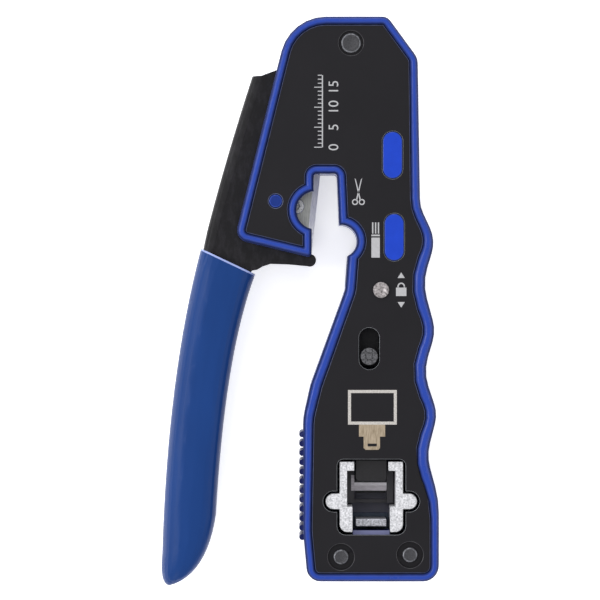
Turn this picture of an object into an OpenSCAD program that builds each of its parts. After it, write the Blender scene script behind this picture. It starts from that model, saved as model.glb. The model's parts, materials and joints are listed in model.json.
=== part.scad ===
// Modular plug crimping tool with a cable cutter, a round-cable stripping notch and a handle lock.
// The tool lies on its rear face: Z is its thickness, +Y runs from the port end to the hinge end.
// Origin: the middle of the footprint, on the surface that it lies on.

/* [Housing] */
// Thickness of the closed housing
body_t = 20; // [19:0.5:24]
// Height of the hinge centre above the origin
hinge_y = 64.25; // [64:0.05:64.6]
// Distance of the hinge centre from the origin line
hinge_x = 12.75; // [12.4:0.05:13]
// Width of the rounded blue rim
rim_w = 2.1; // [1.9:0.05:2.3]
// Width of the scooped rim in each finger groove
groove_rim_w = 3.6; // [3:0.1:3.8]
// Side wall, as a share of the rim's width
wall_share = 0.7; // [0.6:0.05:0.8]
// Thickness of each shell's floor
floor_t = 2; // [1.6:0.1:2.2]
// Thickness of the black cover plates
plate_t = 1.6; // [1.2:0.1:1.8]
// How far the cover plates lie below the rim
plate_sink = 0.8; // [0.5:0.1:1]
// Gap round each cover plate
plate_gap = 0.1; // [0.05:0.01:0.2]

/* [Grip ribs] */
// Number of round ribs on the housing's grip side
rib_count = 12; // [8:1:12]
// Distance from rib to rib
rib_pitch = 2.34; // [2:0.02:2.4]
// Radius of a rib
rib_r = 0.75; // [0.7:0.05:0.9]

/* [Cutting slot] */
// Radius of the stripping notch
notch_r = 4.05; // [3.8:0.05:4.2]
// Radius of the blade window
window_r = 4.75; // [4.5:0.05:4.9]
// Half of the groove that the blade runs into
groove_half = 1; // [0.8:0.05:1.2]

/* [Lever] */
// Closing angle of the lever
lever_close = 9.5; // [8:0.1:9.6]
// Gap between the lever's channel and the housing's floors
channel_gap = 0.4; // [0.3:0.05:0.6]
// Sheet thickness of the channel
sheet_t = 1.5; // [1.2:0.1:1.6]
// Thickness of the grip sleeve
grip_t = 14.5; // [13:0.5:16]
// Radius of the hinge pin
hinge_r = 2; // [1.6:0.1:2.2]
// Distance from the hinge to the crank pin
crank_len = 13; // [12.6:0.1:13.2]
// Angle of the crank arm, below the lever's side of the hinge
crank_angle = 30; // [28:0.5:34]
// Radius of the crank pin
crank_pin_r = 1.25; // [1:0.05:1.4]

/* [Blade] */
// Thickness of the cutting blade
blade_t = 1; // [0.6:0.1:1.2]
// Radius of the blade screws' heads
blade_head_r = 2; // [1.8:0.1:2.2]

/* [Push rod] */
// Width of the rod's shank
rod_w = 3; // [2.6:0.1:3.2]
// Thickness of the rod
rod_t = 3; // [2.4:0.1:3.2]

/* [Port] */
// Middle of the port
port_x = 17.85; // [17.7:0.05:18]
// Width between the jaws, for the plug's body
port_w = 12.1; // [11.9:0.05:12.4]
// Width of the slot below, for the plug's latch
latch_slot_w = 9.4; // [9:0.1:9.8]
// Width of the crimping punch
punch_w = 7.6; // [7.2:0.1:8]
// Number of teeth of the punch
tooth_count = 8; // [6:2:8]
// Distance from contact to contact
tooth_pitch = 1.016; // [0.9:0.004:1.02]

/* [Lock] */
// Middle of the lock's slot
lock_x = 17.3; // [17.2:0.05:17.5]
// Middle of the knob when unlocked
lock_y = -14.1; // [-14.4:0.1:-13.9]
// Travel of the lock
lock_travel = 4.5; // [4:0.1:4.6]
// Width of the lock's slot
lock_slot_w = 5.15; // [5:0.05:5.4]
// Radius of the knob
knob_r = 2.12; // [2:0.02:2.4]

/* [Fits] */
// Radial clearance of a turning fit
turn_gap = 0.05; // [0.02:0.01:0.08]

/* [Hidden] */
$fn = 48;

BLUE = "#2b4bc0";
BLACK = "#2b2a2d";
STEEL = "#c9cacd";
LEVER_BLACK = "#38373a";
GRIP_BLUE = "#24418c";

mid = body_t / 2;
floor_hi = mid - plate_sink - plate_t;
floor_lo = floor_hi - floor_t;
channel_w = 2 * (floor_lo - channel_gap);
hinge = [hinge_x, hinge_y];
crank = hinge - crank_len * [cos(crank_angle), sin(crank_angle)];
crank_end_angle = crank_angle + lever_close;
ram_travel = crank_len * (sin(crank_end_angle) - sin(crank_angle));
crank_shift = crank_len * (cos(crank_angle) - cos(crank_end_angle));
rivet = [20.25, 2.5];
notch = [10.25, 14.75];
window = [3.85, 22.5];
slot_top_y = 31.6;
slot_right_x = [9.8, 9.25];
slot_left_x = 3.4;
tip_x = 2.95;
mouth_x = 12;
oval_places = [[23.15, 36.25], [23.55, 15.7]];
oval_size = [4.9, 11.75];
dot_place = [-6.1, 24.75];
dot_r = 1.62;
screw_places = [[10.25, -64.25], [27.5, -63.75]];
screw_r = 1.25;
screw_head_r = 1.85;
recess_r = 3.3;
boss_r = 2.6;
bottom_y = -70.5;
top_y = hinge_y + 6.75;

// ---------------------------------------------------------------- outline geometry

function unit(v) = v / norm(v);
function cross2(a, b) = a.x * b.y - a.y * b.x;
function inward(p, q) = let (u = unit(q - p)) [u.y, -u.x];
function full_bend(a, b) = atan2(cross2(a, b), a * b);
function meet(p, u, q, v) = p + u * cross2(q - p, v) / cross2(u, v);
function flat(rows) = [for (row = rows) for (p = row) p];
function bezier(a, b, c, t) = a * (1 - t) * (1 - t) + b * 2 * t * (1 - t) + c * t * t;
function curve(a, b, c, n, first = 0, last = 1) =
    [for (i = [0:n]) bezier(a, b, c, first + (last - first) * i / n)];

// The points of one rounded corner, between the lines that come in and go out.
function fillet(corner, u, v, r, n) =
    let (turn = full_bend(u, v),
         reach = r * tan(abs(turn) / 2),
         side = sign(turn),
         centre = corner - u * reach + r * side * [-u.y, u.x],
         start = corner - u * reach - centre)
    [for (i = [0:n]) let (a = turn * i / n)
        centre + [start.x * cos(a) - start.y * sin(a), start.x * sin(a) + start.y * cos(a)]];

// Each row: x, y, fillet radius, rim width. The chains run clockwise round the housing.
head_chain = [
    [tip_x, 10.6, 1, rim_w], [-16.4, 15.3, 3, rim_w], [-2.5, top_y, 11.5, rim_w],
    [21.9, top_y, 2.6, rim_w], [29.5, 60.6, 4, rim_w], [30.1, 23.4, 9, 2.3],
    [34.05, 15, 9, 2.4], [30.75, 4.25, 14, groove_rim_w], [34.05, -7.75, 10, 2.4],
    [31, -18, 12, groove_rim_w], [34.5, -28.5, 9, 2.3], [31.8, -39, 12, groove_rim_w],
    [34.8, -50, 25, rim_w], [34.8, bottom_y, 4, rim_w], [1.9, bottom_y, 3.5, rim_w],
    [0.75, -58, 20, rim_w], [0.75, -29.5, 15, 2.6], [2.6, -21.2, 12, 2.8],
    [11.3, 2.6, 6, 2.6]];
slot_chain = [[slot_right_x[1], slot_top_y, 0.75, rim_w], [slot_left_x, slot_top_y, 0.75, rim_w]];

function spot(row) = [row[0], row[1]];

// Where a wall line, set in by the rim, meets a notch circle grown by the rim.
function kink(p, q, d, centre, r, up) =
    let (u = unit(q - p), base = p + inward(p, q) * d,
         along = (centre - base) * u, foot = base + u * along,
         half = sqrt(max(0, r * r - pow(norm(centre - foot), 2))))
    foot + u * (up ? half : -half);

function chain_points(chain, before, after, k, extra) =
    let (last = len(chain) - 1)
    flat([for (i = [0:last])
        let (p = i == 0 ? before : spot(chain[i - 1]),
             c = spot(chain[i]),
             q = i == last ? after : spot(chain[i + 1]),
             wp = i == 0 ? chain[0][3] : chain[i - 1][3],
             wq = i == last ? chain[last][3] : chain[i + 1][3],
             w = chain[i][3],
             p2 = p + inward(p, c) * (wp * k + extra),
             c2 = c + inward(p, c) * (w * k + extra),
             c3 = c + inward(c, q) * (w * k + extra),
             q2 = q + inward(c, q) * (wq * k + extra),
             u = unit(c2 - p2), v = unit(q2 - c3),
             corner = meet(c2, u, c3, v),
             turn = full_bend(c - p, q - c),
             d = w * k + extra,
             r = turn < 0 ? max(chain[i][2] - d, 0.25) : chain[i][2] + d,
             n = max(2, ceil(abs(turn) / 13)))
        fillet(corner, u, v, r, n)]);

function arc_points(centre, r, from, to, n) =
    [for (i = [0:n]) let (a = from + (to - from) * i / n) centre + r * [cos(a), sin(a)]];

function heading(v) = atan2(v.y, v.x);

// The whole outline, set in by a share k of the rim and by an extra distance.
function ring(k, extra = 0) =
    let (d = rim_w * k + extra,
         slope_end = [mouth_x - 0.05, 11.2],
         notch_low = kink(spot(head_chain[18]), slope_end, 2.6 * k + extra, notch, notch_r + d, false),
         notch_high = kink([slot_right_x[0], 19], [slot_right_x[1], slot_top_y], d,
                           notch, notch_r + d, true),
         window_high = kink([slot_left_x, slot_top_y], [slot_left_x, 27], d,
                            window, window_r + d, false),
         window_low = kink([tip_x, 18], [tip_x, 10.6], d, window, window_r + d, true),
         a1 = heading(notch_low - notch), a2 = heading(notch_high - notch),
         b1 = heading(window_high - window), b2 = heading(window_low - window) + 360)
    concat(
        chain_points(head_chain, [tip_x, 18], slope_end, k, extra),
        arc_points(notch, notch_r + d, a1, a2, 14),
        chain_points(slot_chain, [slot_right_x[0], 19], [slot_left_x, 27], k, extra),
        arc_points(window, window_r + d, b1, b2, 14));

// Profile of the rim: share of the rim's width, height above the parting plane.
rim_profile = [
    [0, 0], [0, mid - 2.8], [0.03, mid - 1.7], [0.13, mid - 0.75], [0.28, mid - 0.2],
    [0.44, mid], [0.62, mid], [0.8, mid - 0.25], [0.94, mid - 0.8], [1, mid - 1.6],
    [1, floor_lo + 1], [wall_share, floor_lo + 1], [wall_share, 0]];

// A closed loft of the profile round the outline.
module rim() {
    rings = [for (p = rim_profile) [for (q = ring(p[0])) [q.x, q.y, p[1]]]];
    n = len(rings[0]);
    m = len(rings);
    polyhedron(
        points = flat(rings),
        faces = [for (j = [0:m - 1]) for (i = [0:n - 1])
            let (j2 = (j + 1) % m, i2 = (i + 1) % n)
            [j * n + i, j * n + i2, j2 * n + i2, j2 * n + i]]);
}

// Region through which the lever and its nose pass between the shells.
module lever_opening() {
    polygon([[-30, hinge.y - 2.75], [-4, hinge.y - 2.75], [0.5, slot_top_y + 3.4],
             [4.6, slot_top_y + 2.9], [4.6, 8], [-30, 8]]);
    translate([mouth_x - 1.5, 3.3]) square([6.5, 8.4]);
}

// Region round the slot and notch, where the walls leave a groove for the blade.
module blade_groove() {
    translate([2, 10]) square([15, 25]);
}

module stadium(size) {
    r = size.x / 2;
    translate([0, r - size.y / 2]) circle(r);
    translate([0, size.y / 2 - r]) circle(r);
    square([size.x, size.y - size.x], center = true);
}

// Outline of both jaws and their ears, grown by a gap.
module port_outline(gap) {
    half = jaw_out + gap;
    translate([port_x, 0]) {
        polygon(concat(
            arc_points([-half + port_corner, jaw_top + gap - port_corner], port_corner, 180, 90, 5),
            arc_points([half - port_corner, jaw_top + gap - port_corner], port_corner, 90, 0, 5),
            arc_points([half - 2.2, jaw_low - gap + 2.2], 2.2, 0, -90, 6),
            arc_points([-half + 2.2, jaw_low - gap + 2.2], 2.2, -90, -180, 6)));
        for (s = [-1, 1])
            translate([s * (ear_out - ear_r), ear_y]) circle(ear_r + gap);
        translate([-ear_out + ear_r, ear_y - ear_r - gap])
            square([2 * (ear_out - ear_r), 2 * (ear_r + gap)]);
    }
}

jaw_leg = 1.9;
jaw_out = port_w / 2 + jaw_leg;
jaw_top = -40.45;
jaw_tab_y = -42.75;
jaw_tab_in = punch_w / 2 + 0.48;
jaw_step_y = -51.7;
jaw_low = -58.1;
ear_out = 11.45;
ear_r = 1.97;
ear_y = -50.4;
ear_depth = 4.4;
jaw_front = 2 * mid - plate_sink - 0.6;
plate_port_gap = 0.65;
shell_port_gap = 0.9;
port_corner = 1.6;

// One shell, from the parting plane up.
module half_shell() {
    difference() {
        union() {
            rim();
            translate([0, 0, floor_lo]) linear_extrude(floor_t) polygon(ring(0.5));
            for (p = screw_places)
                translate([p.x, p.y, 0]) cylinder(r = boss_r, h = floor_lo + 0.5);
            ribs();
            rod_guides();
        }
        translate([0, 0, -1]) linear_extrude(floor_lo + 0.95) lever_opening();
        translate([0, 0, -1]) linear_extrude(1 + groove_half) blade_groove();
        translate([hinge.x, hinge.y, -1]) cylinder(r = hinge_r + 0.02, h = body_t);
        translate([rivet.x, rivet.y, -1]) cylinder(r = rivet_r + 0.02, h = body_t);
        for (p = screw_places)
            translate([p.x, p.y, -1]) cylinder(r = screw_r + 0.1, h = body_t);
    }
}

rib_top_y = -33.65;
rib_edge_x = 0.75;
rib_rise = 0.95;
rib_hi = mid - 2.6;

// The round ribs beside the grip, standing out of the side wall.
module ribs() {
    for (i = [0:rib_count - 1])
        translate([rib_edge_x - rib_rise + rib_r, rib_top_y - i * rib_pitch, 0])
            cylinder(r = rib_r, h = rib_hi, $fn = 24);
}

rod_left = 22.6;
guide_ys = [29, 8, -24];
guide_len = 3;

// Pads that carry the push rod on both faces, and cheeks on its outer side.
module rod_guides() {
    for (y = guide_ys) {
        translate([rod_left + 0.9, y, rod_t / 2 + 0.1])
            cube([rod_w - 1, guide_len, floor_lo - rod_t / 2]);
        translate([rod_left + rod_w + 0.1, y, 0.05])
            cube([1.2, guide_len, floor_lo]);
    }
}

lock_low_y = lock_y - 3.3;
lock_slot_len = lock_travel + 6;
lock_mid_y = lock_low_y + lock_slot_len / 2;
bar_z = mid + 2;
bar_t = 1.2;
rivet_r = 1.25;
rivet_cup_r = 1.45;
rivet_head_r = 2;

module front_shell() {
    color(BLUE) {
        difference() {
            union() {
                translate([0, 0, mid]) half_shell();
                lock_land();
                for (p = oval_places)
                    translate([p.x, p.y, mid + floor_hi - 0.5])
                        linear_extrude(plate_t + 0.6) stadium(oval_size);
                translate([dot_place.x, dot_place.y, mid + floor_hi - 0.5])
                    cylinder(r = dot_r, h = plate_t + 0.6);
            }
            translate([lock_x, lock_mid_y, mid]) linear_extrude(body_t)
                stadium([lock_slot_w + 0.6, lock_slot_len + 0.6]);
            translate([0, 0, mid]) linear_extrude(body_t) port_outline(shell_port_gap);
        }
        port_skirt();
    }
}

// Land under the floor that the lock bar slides along.
module lock_land() {
    translate([lock_x - 4, lock_low_y - 1.4, bar_z + bar_t + 0.15])
        cube([8, lock_slot_len + 2.8, mid + floor_lo - bar_z - bar_t + 0.35]);
}

skirt_hi = 6.2;

// Wall under the port's lower edge, seen past the latch bar.
module port_skirt() {
    translate([port_x - latch_slot_w / 2 + 0.1, jaw_low - 2.6, mid + 0.5])
        cube([latch_slot_w - 0.2, 2.95, skirt_hi]);
}

cover_size = [19, 11.4];
cover_y = -51.6;
cover_hole = [9.6, 7];
cover_hole_y = -50.6;
cover_screw_x = cover_size.x / 2 - 1.9;
cover_screw_r = 0.95;

module rear_shell() {
    color(BLUE)
    difference() {
        translate([0, 0, mid]) mirror([0, 0, 1]) half_shell();
        translate([port_x, cover_hole_y, 0])
            cube([cover_hole.x, cover_hole.y, body_t / 2], center = true);
        for (s = [-1, 1])
            translate([port_x + s * cover_screw_x, cover_y, -1])
                cylinder(r = cover_screw_r + 0.03, h = mid);
        nut_pockets();
    }
}

nut_af = 4.2;
nut_t = 1.5;

module nut_pockets() {
    for (p = screw_places)
        translate([p.x, p.y, mid - floor_hi - 0.1])
            cylinder(r = nut_af / sqrt(3) + 0.1, h = nut_t + 0.1, $fn = 6);
}

plate_z = mid + floor_hi;

module plate_blank() {
    linear_extrude(plate_t) polygon(ring(1, plate_gap));
}

module front_plate() {
    color(BLACK)
    difference() {
        translate([0, 0, plate_z]) plate_blank();
        for (p = oval_places)
            translate([p.x, p.y, mid]) linear_extrude(body_t)
                stadium(oval_size + [0.3, 0.3]);
        translate([dot_place.x, dot_place.y, mid]) cylinder(r = dot_r + 0.15, h = body_t);
        translate([lock_x, lock_mid_y, mid]) linear_extrude(body_t)
            stadium([lock_slot_w, lock_slot_len]);
        translate([0, 0, mid]) linear_extrude(body_t) port_outline(plate_port_gap);
        translate([hinge.x, hinge.y, mid]) cylinder(r = hinge_r + 0.02, h = body_t);
        translate([hinge.x, hinge.y, plate_z + plate_t - 0.5]) cylinder(r = 3.1, h = 3);
        translate([rivet.x, rivet.y, mid]) cylinder(r = rivet_r + 0.02, h = body_t);
        for (p = screw_places)
            translate([p.x, p.y, mid]) {
                cylinder(r = screw_r + 0.1, h = body_t);
                translate([0, 0, floor_hi + plate_t - 0.9]) cylinder(r = recess_r, h = 3);
            }
    }
}

module rear_plate() {
    color(BLACK)
    difference() {
        translate([0, 0, plate_sink]) plate_blank();
        translate([hinge.x, hinge.y, -1]) cylinder(r = hinge_r + 0.02, h = mid);
        translate([hinge.x, hinge.y, -2 + plate_sink + 0.5]) cylinder(r = 3.1, h = 2);
        translate([rivet.x, rivet.y, -1]) cylinder(r = rivet_r + 0.02, h = mid);
        for (p = screw_places)
            translate([p.x, p.y, -1]) cylinder(r = screw_r + 0.1, h = mid);
        translate([port_x, cover_y, 0])
            cube([cover_size.x + 0.3, cover_size.y + 0.3, mid], center = true);
    }
}

// ---------------------------------------------------------------- fasteners and pivots

// A ball that leaves a shallow dish, of a given radius and depth, in the face below it.
module dish_ball(r, depth) {
    ball_r = (r * r + depth * depth) / (2 * depth);
    translate([0, 0, ball_r - depth]) sphere(ball_r, $fn = 64);
}

hinge_head_r = 2.45;

module hinge_pin() {
    color(STEEL)
    translate([hinge.x, hinge.y, 0])
    difference() {
        union() {
            translate([0, 0, plate_sink + 0.1]) cylinder(r = hinge_r, h = body_t - 2 * plate_sink - 0.2);
            translate([0, 0, plate_sink - 0.2]) cylinder(r = hinge_head_r, h = 0.7);
            translate([0, 0, body_t - plate_sink - 0.5]) cylinder(r = hinge_head_r, h = 0.7);
        }
        translate([0, 0, body_t - plate_sink + 0.2]) dish_ball(hinge_head_r - 0.6, 0.35);
        translate([0, 0, plate_sink - 0.2]) mirror([0, 0, 1]) dish_ball(hinge_head_r - 0.6, 0.35);
    }
}

sleeve_r = 3;
inside_half = channel_w / 2 - sheet_t;

module hinge_sleeve() {
    color("silver")
    translate([hinge.x, hinge.y, mid - inside_half + 0.1])
    difference() {
        cylinder(r = sleeve_r, h = 2 * inside_half - 0.2);
        translate([0, 0, -1]) cylinder(r = hinge_r + 0.02, h = body_t);
    }
}

spring_wire = 0.45;
spring_turns = 3;
spring_r = sleeve_r + spring_wire + 0.3;
spring_rise = 1.3;
spring_segments = 18;
web_leg = [-22.95, -10.2];
wall_leg = [6.3, 4.75];

function tangent_angle(p) = heading(p) + acos(spring_r / norm(p));
function other_tangent(p) = heading(p) - acos(spring_r / norm(p));

// Centre line of the spring: a leg on the housing's top wall, the coil, a leg on the lever's web.
function spring_path() =
    let (a1 = tangent_angle(wall_leg), a2 = other_tangent(web_leg) + 360 * spring_turns,
         n = spring_turns * spring_segments, rise = spring_turns * spring_rise,
         low = mid - rise / 2)
    concat(
        [[wall_leg.x, wall_leg.y, low]],
        [for (i = [0:n]) let (a = a1 + (a2 - a1) * i / n)
            [spring_r * cos(a), spring_r * sin(a), low + rise * i / n]],
        [[web_leg.x, web_leg.y, low + rise]]);

// Round wire along a list of points, as one closed loft.
module wire(path, r, sides) {
    last = len(path) - 1;
    function dir(i) = unit(path[min(i + 1, last)] - path[max(i - 1, 0)]);
    rings = [for (i = [0:last])
        let (d = dir(i), a = unit(cross(d, [0, 0, 1])), b = cross(a, d))
        [for (k = [0:sides - 1]) let (t = 360 * k / sides)
            path[i] + r * (a * cos(t) + b * sin(t))]];
    polyhedron(
        points = flat(rings),
        faces = concat(
            [for (i = [0:last - 1]) for (k = [0:sides - 1])
                let (k2 = (k + 1) % sides)
                [i * sides + k, (i + 1) * sides + k, (i + 1) * sides + k2, i * sides + k2]],
            [[for (k = [0:sides - 1]) k]],
            [[for (k = [sides - 1:-1:0]) last * sides + k]]));
}

module return_spring() {
    color("silver")
    translate([hinge.x, hinge.y, 0]) wire(spring_path(), spring_wire, 6);
}

module lock_rivet() {
    color(STEEL)
    translate([rivet.x, rivet.y, 0])
    difference() {
        union() {
            translate([0, 0, plate_sink]) cylinder(r = rivet_r, h = body_t - 2 * plate_sink);
            translate([0, 0, plate_sink - 0.6]) cylinder(r = rivet_head_r, h = 0.6);
            translate([0, 0, body_t - plate_sink]) cylinder(r = rivet_head_r, h = 0.6);
        }
        translate([0, 0, body_t - plate_sink + 0.6]) dish_ball(rivet_cup_r, 0.5);
        translate([0, 0, plate_sink - 0.6]) mirror([0, 0, 1]) dish_ball(rivet_cup_r, 0.5);
    }
}

module housing_screws() {
    color("#3a3a3d")
    for (p = screw_places)
        translate([p.x, p.y, 0])
        difference() {
            union() {
                translate([0, 0, plate_sink + 0.4])
                    cylinder(r = screw_r, h = plate_z + plate_t - 1.2 - plate_sink);
                translate([0, 0, plate_z + plate_t - 0.9]) cylinder(r = screw_head_r, h = 0.9);
            }
            translate([0, 0, plate_z + plate_t]) dish_ball(screw_head_r - 0.4, 0.25);
        }
}

module housing_nuts() {
    color(STEEL)
    for (p = screw_places)
        translate([p.x, p.y, mid - floor_hi])
        difference() {
            cylinder(r = nut_af / sqrt(3), h = nut_t, $fn = 6);
            translate([0, 0, -1]) cylinder(r = screw_r + 0.02, h = 4);
        }
}

// ---------------------------------------------------------------- port

seat_z = mid - floor_lo;

jaw_corner = 2;

// The right jaw, from the middle of the port.
module jaw() {
    translate([0, 0, seat_z]) linear_extrude(jaw_front - seat_z) polygon(concat(
        [[jaw_tab_in, jaw_top], [jaw_out, jaw_top]],
        arc_points([jaw_out - jaw_corner, jaw_low + jaw_corner], jaw_corner, 0, -90, 6),
        [[latch_slot_w / 2, jaw_low], [latch_slot_w / 2, jaw_step_y], [port_w / 2, jaw_step_y],
         [port_w / 2, jaw_tab_y], [jaw_tab_in, jaw_tab_y]]));
    translate([jaw_out - 0.5, ear_y - ear_r, jaw_front - ear_depth])
        cube([ear_out - ear_r - jaw_out + 0.5, 2 * ear_r, ear_depth]);
    translate([ear_out - ear_r, ear_y, jaw_front - ear_depth]) cylinder(r = ear_r, h = ear_depth);
}

module jaw_right() {
    color(STEEL) translate([port_x, 0, 0]) jaw();
}

module jaw_left() {
    color(STEEL) translate([port_x, 0, 0]) mirror([1, 0, 0]) jaw();
}

stop_hi = 8.2;
rail_gap = 0.3;
lip_t = 0.6;
lip_y = -45.6;
lip_h = 2.65;
anvil_y = -50.5;

// Frame behind the plug: two rails, the lip that stops its nose and the anvil of the trim blade.
module plug_stop() {
    rail_in = punch_w / 2 + rail_gap;
    rail_out = port_w / 2 - rail_gap;
    color("#303033")
    translate([port_x, 0, 0]) {
        for (s = [-1, 1])
            translate([s * (rail_in + rail_out) / 2, (jaw_tab_y - rail_gap + jaw_step_y + rail_gap) / 2,
                       (seat_z + stop_hi) / 2])
                cube([rail_out - rail_in, jaw_tab_y - jaw_step_y - 2 * rail_gap, stop_hi - seat_z],
                     center = true);
        translate([rail_in + 0.1, 0, 0]) rotate([0, -90, 0]) linear_extrude(2 * rail_in + 0.2)
            polygon([[stop_hi - lip_t, lip_y - lip_h], [stop_hi - lip_t, lip_y],
                     [stop_hi - 0.25, lip_y], [stop_hi, lip_y - 0.35],
                     [stop_hi, lip_y - lip_h + 0.8], [stop_hi - 0.3, lip_y - lip_h]]);
        translate([-rail_in - 0.1, jaw_step_y + rail_gap, seat_z])
            cube([2 * rail_in + 0.2, anvil_y - jaw_step_y - rail_gap, trim_z - rail_gap - seat_z]);
    }
}

latch_bar_y = [-56.85, -54.95];
latch_bar_w = latch_slot_w - 1.74;
latch_bar_hi = 15.5;

// Bar that the plug's latch passes over.
module latch_bar() {
    color(STEEL)
    translate([port_x - latch_bar_w / 2, latch_bar_y[0], seat_z])
        cube([latch_bar_w, latch_bar_y[1] - latch_bar_y[0], latch_bar_hi - seat_z]);
}

module trim_cover() {
    color(BLACK)
    difference() {
        translate([port_x, cover_y, plate_sink + plate_t / 2])
            cube([cover_size.x, cover_size.y, plate_t], center = true);
        for (s = [-1, 1])
            translate([port_x + s * cover_screw_x, cover_y, -1]) {
                cylinder(r = cover_screw_r + 0.1, h = mid);
                cylinder(r = 1.9, h = 1 + plate_sink + 0.7);
            }
    }
}

module trim_cover_screws() {
    color(STEEL)
    for (s = [-1, 1])
        translate([port_x + s * cover_screw_x, cover_y, plate_sink])
        difference() {
            union() {
                cylinder(r = 1.7, h = 0.7);
                cylinder(r = cover_screw_r, h = floor_t + plate_t - 0.1);
            }
            translate([0, 0, -1]) cylinder(r = 0.6, h = 1.35, $fn = 6);
        }
}

// ---------------------------------------------------------------- lever

lever_edge = [[-12, 56.25], [-19.5, 33.2], [-24.45, 13.05]];
grip_left = [[-25, 13], [-33.5, -19], [-34.8, -64]];
grip_right = [[-11.3, 6.5], [-19, -14], [-21.2, -54]];
grip_left_end = [[-34.8, -64], [-35.6, -71.6], [-33, -72]];
grip_right_end = [[-21.2, -54], [-23.4, -69.4], [-33, -72]];
shank_inset = 2.1;
shank_start = 0.1;
shank_end = 0.86;
nose = [2.5, 10];
nose_r = 1.55;
lever_z = mid - channel_w / 2;

function at(line, t) = bezier(line[0], line[1], line[2], t);
function shank_left(t) =
    at(grip_left, t) + unit(at(grip_right, t) - at(grip_left, t)) * shank_inset;
function shank_right(t) =
    at(grip_right, t) + unit(at(grip_left, t) - at(grip_right, t)) * shank_inset;

// Outline of the lever's cheeks, from its top edge down the outer side and back up.
function cheek_points() = concat(
    [[hinge.x - 1, hinge.y + 4], [-3, 58.9], [-5.5, 57.9], [-9, 56.6]],
    [for (p = curve(lever_edge[0], lever_edge[1], lever_edge[2], 12, 0, 0.97)) p + [web_reach, 0]],
    [for (i = [0:12]) shank_left(0.04 + (shank_end - 0.04) * i / 12)],
    [for (i = [12:-1:0]) shank_right(shank_start + (shank_end - shank_start) * i / 12)],
    [[-12.2, 7.45], [-10.8, 7.7], [-9.5, 8.5], [-7.5, 9.15], [-2.75, 9]],
    arc_points(nose, nose_r, -110, 90, 12),
    [[-2.4, 12.6], [-4.6, 17], [-4.6, 35.6], [8.2, 40.9], [8.9, 44], [hinge.x + 4, hinge.y - 1.5]]);

module cheek_2d() {
    polygon(cheek_points());
    translate(hinge) circle(4.2);
}

// Section of the web that joins the cheeks along the outer edge: distance in, height.
web_reach = 2.2;
web_half = channel_w / 2;
web_profile = [
    [0, web_half - 2.2], [0.2, web_half - 1.3], [0.6, web_half - 0.6], [1.3, web_half - 0.15],
    [2.1, web_half], [2.7, web_half], [2.7, web_half - sheet_t], [2.1, web_half - sheet_t],
    [1.5, web_half - 2.2],
    [1.5, 2.2 - web_half], [2.1, sheet_t - web_half], [2.7, sheet_t - web_half], [2.7, -web_half],
    [2.1, -web_half], [1.3, 0.15 - web_half], [0.6, 0.6 - web_half], [0.2, 1.3 - web_half],
    [0, 2.2 - web_half]];

// Direction in which the web's upper end is cut
web_end = [1.05, 0.04];

module web() {
    path = curve(lever_edge[0], lever_edge[1], lever_edge[2], 10);
    last = len(path) - 1;
    m = len(web_profile);
    sides = [for (i = [0:last])
        let (d = unit(path[min(i + 1, last)] - path[max(i - 1, 0)]))
        i == 0 ? web_end : [-d.y, d.x]];
    points = flat([for (i = [0:last])
        [for (p = web_profile)
            [path[i].x + sides[i].x * p.x, path[i].y + sides[i].y * p.x, mid + p.y]]]);
    cap = [[0, 8, 9, 17], [0, 1, 8], [1, 2, 8], [2, 7, 8], [2, 3, 7], [3, 4, 7], [4, 5, 6, 7],
           [17, 9, 16], [9, 15, 16], [9, 10, 15], [10, 14, 15], [10, 13, 14], [10, 11, 12, 13]];
    polyhedron(
        points = points,
        faces = concat(
            [for (i = [0:last - 1]) for (k = [0:m - 1]) let (k2 = (k + 1) % m)
                [i * m + k, i * m + k2, (i + 1) * m + k2, (i + 1) * m + k]],
            [for (f = cap) [for (k = [len(f) - 1:-1:0]) f[k]]],
            [for (f = cap) [for (k = f) last * m + k]]));
}

// Channel of bent sheet: two cheeks, joined by the rolled web and by a straight one in the grip.
module lever() {
    color(LEVER_BLACK)
    difference() {
        union() {
            translate([0, 0, lever_z + 0.03]) linear_extrude(sheet_t - 0.06) cheek_2d();
            translate([0, 0, mid + inside_half + 0.03]) linear_extrude(sheet_t - 0.06) cheek_2d();
            translate([0, 0, lever_z + 0.5]) linear_extrude(channel_w - 1) shank_web_2d();
            web();
        }
        translate([hinge.x, hinge.y, -1]) cylinder(r = hinge_r + turn_gap, h = body_t + 2);
        translate([crank.x, crank.y, -1]) cylinder(r = crank_pin_r + 0.01, h = body_t + 2);
        translate([catch_rest.x, catch_rest.y, -1]) cylinder(r = catch_r + 0.01, h = body_t + 2);
        for (p = carrier_rivet_places)
            translate([p.x, p.y, -1]) cylinder(r = 1.01, h = body_t + 2);
    }
}

module shank_web_2d() {
    ts = [for (i = [0:12]) 0.04 + (shank_end - 0.04) * i / 12];
    intersection() {
        polygon(concat(
            [for (t = ts) shank_left(t) + [0.1, 0]],
            [for (i = [12:-1:0]) shank_left(ts[i]) + [0.1 + sheet_t, 0]]));
        polygon(cheek_points());
    }
}

// The catch pin stands where the lock's hook meets it with the lever closed.
catch_closed = [10.1, 41.9];
catch_r = 0.75;
function turned(p, a) =
    let (v = p - hinge) hinge + [v.x * cos(a) - v.y * sin(a), v.x * sin(a) + v.y * cos(a)];
catch_rest = turned(catch_closed, -lever_close);

module catch_pin() {
    color(STEEL)
    translate([catch_rest.x, catch_rest.y, lever_z]) cylinder(r = catch_r, h = channel_w);
}

module crank_pin() {
    color(STEEL)
    translate([crank.x, crank.y, lever_z]) cylinder(r = crank_pin_r, h = channel_w);
}

// Squareness of the sleeve's section on its inner and outer side: 1 is round, 0 is square.
palm_power = 0.55;
finger_power = 0.8;

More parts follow.
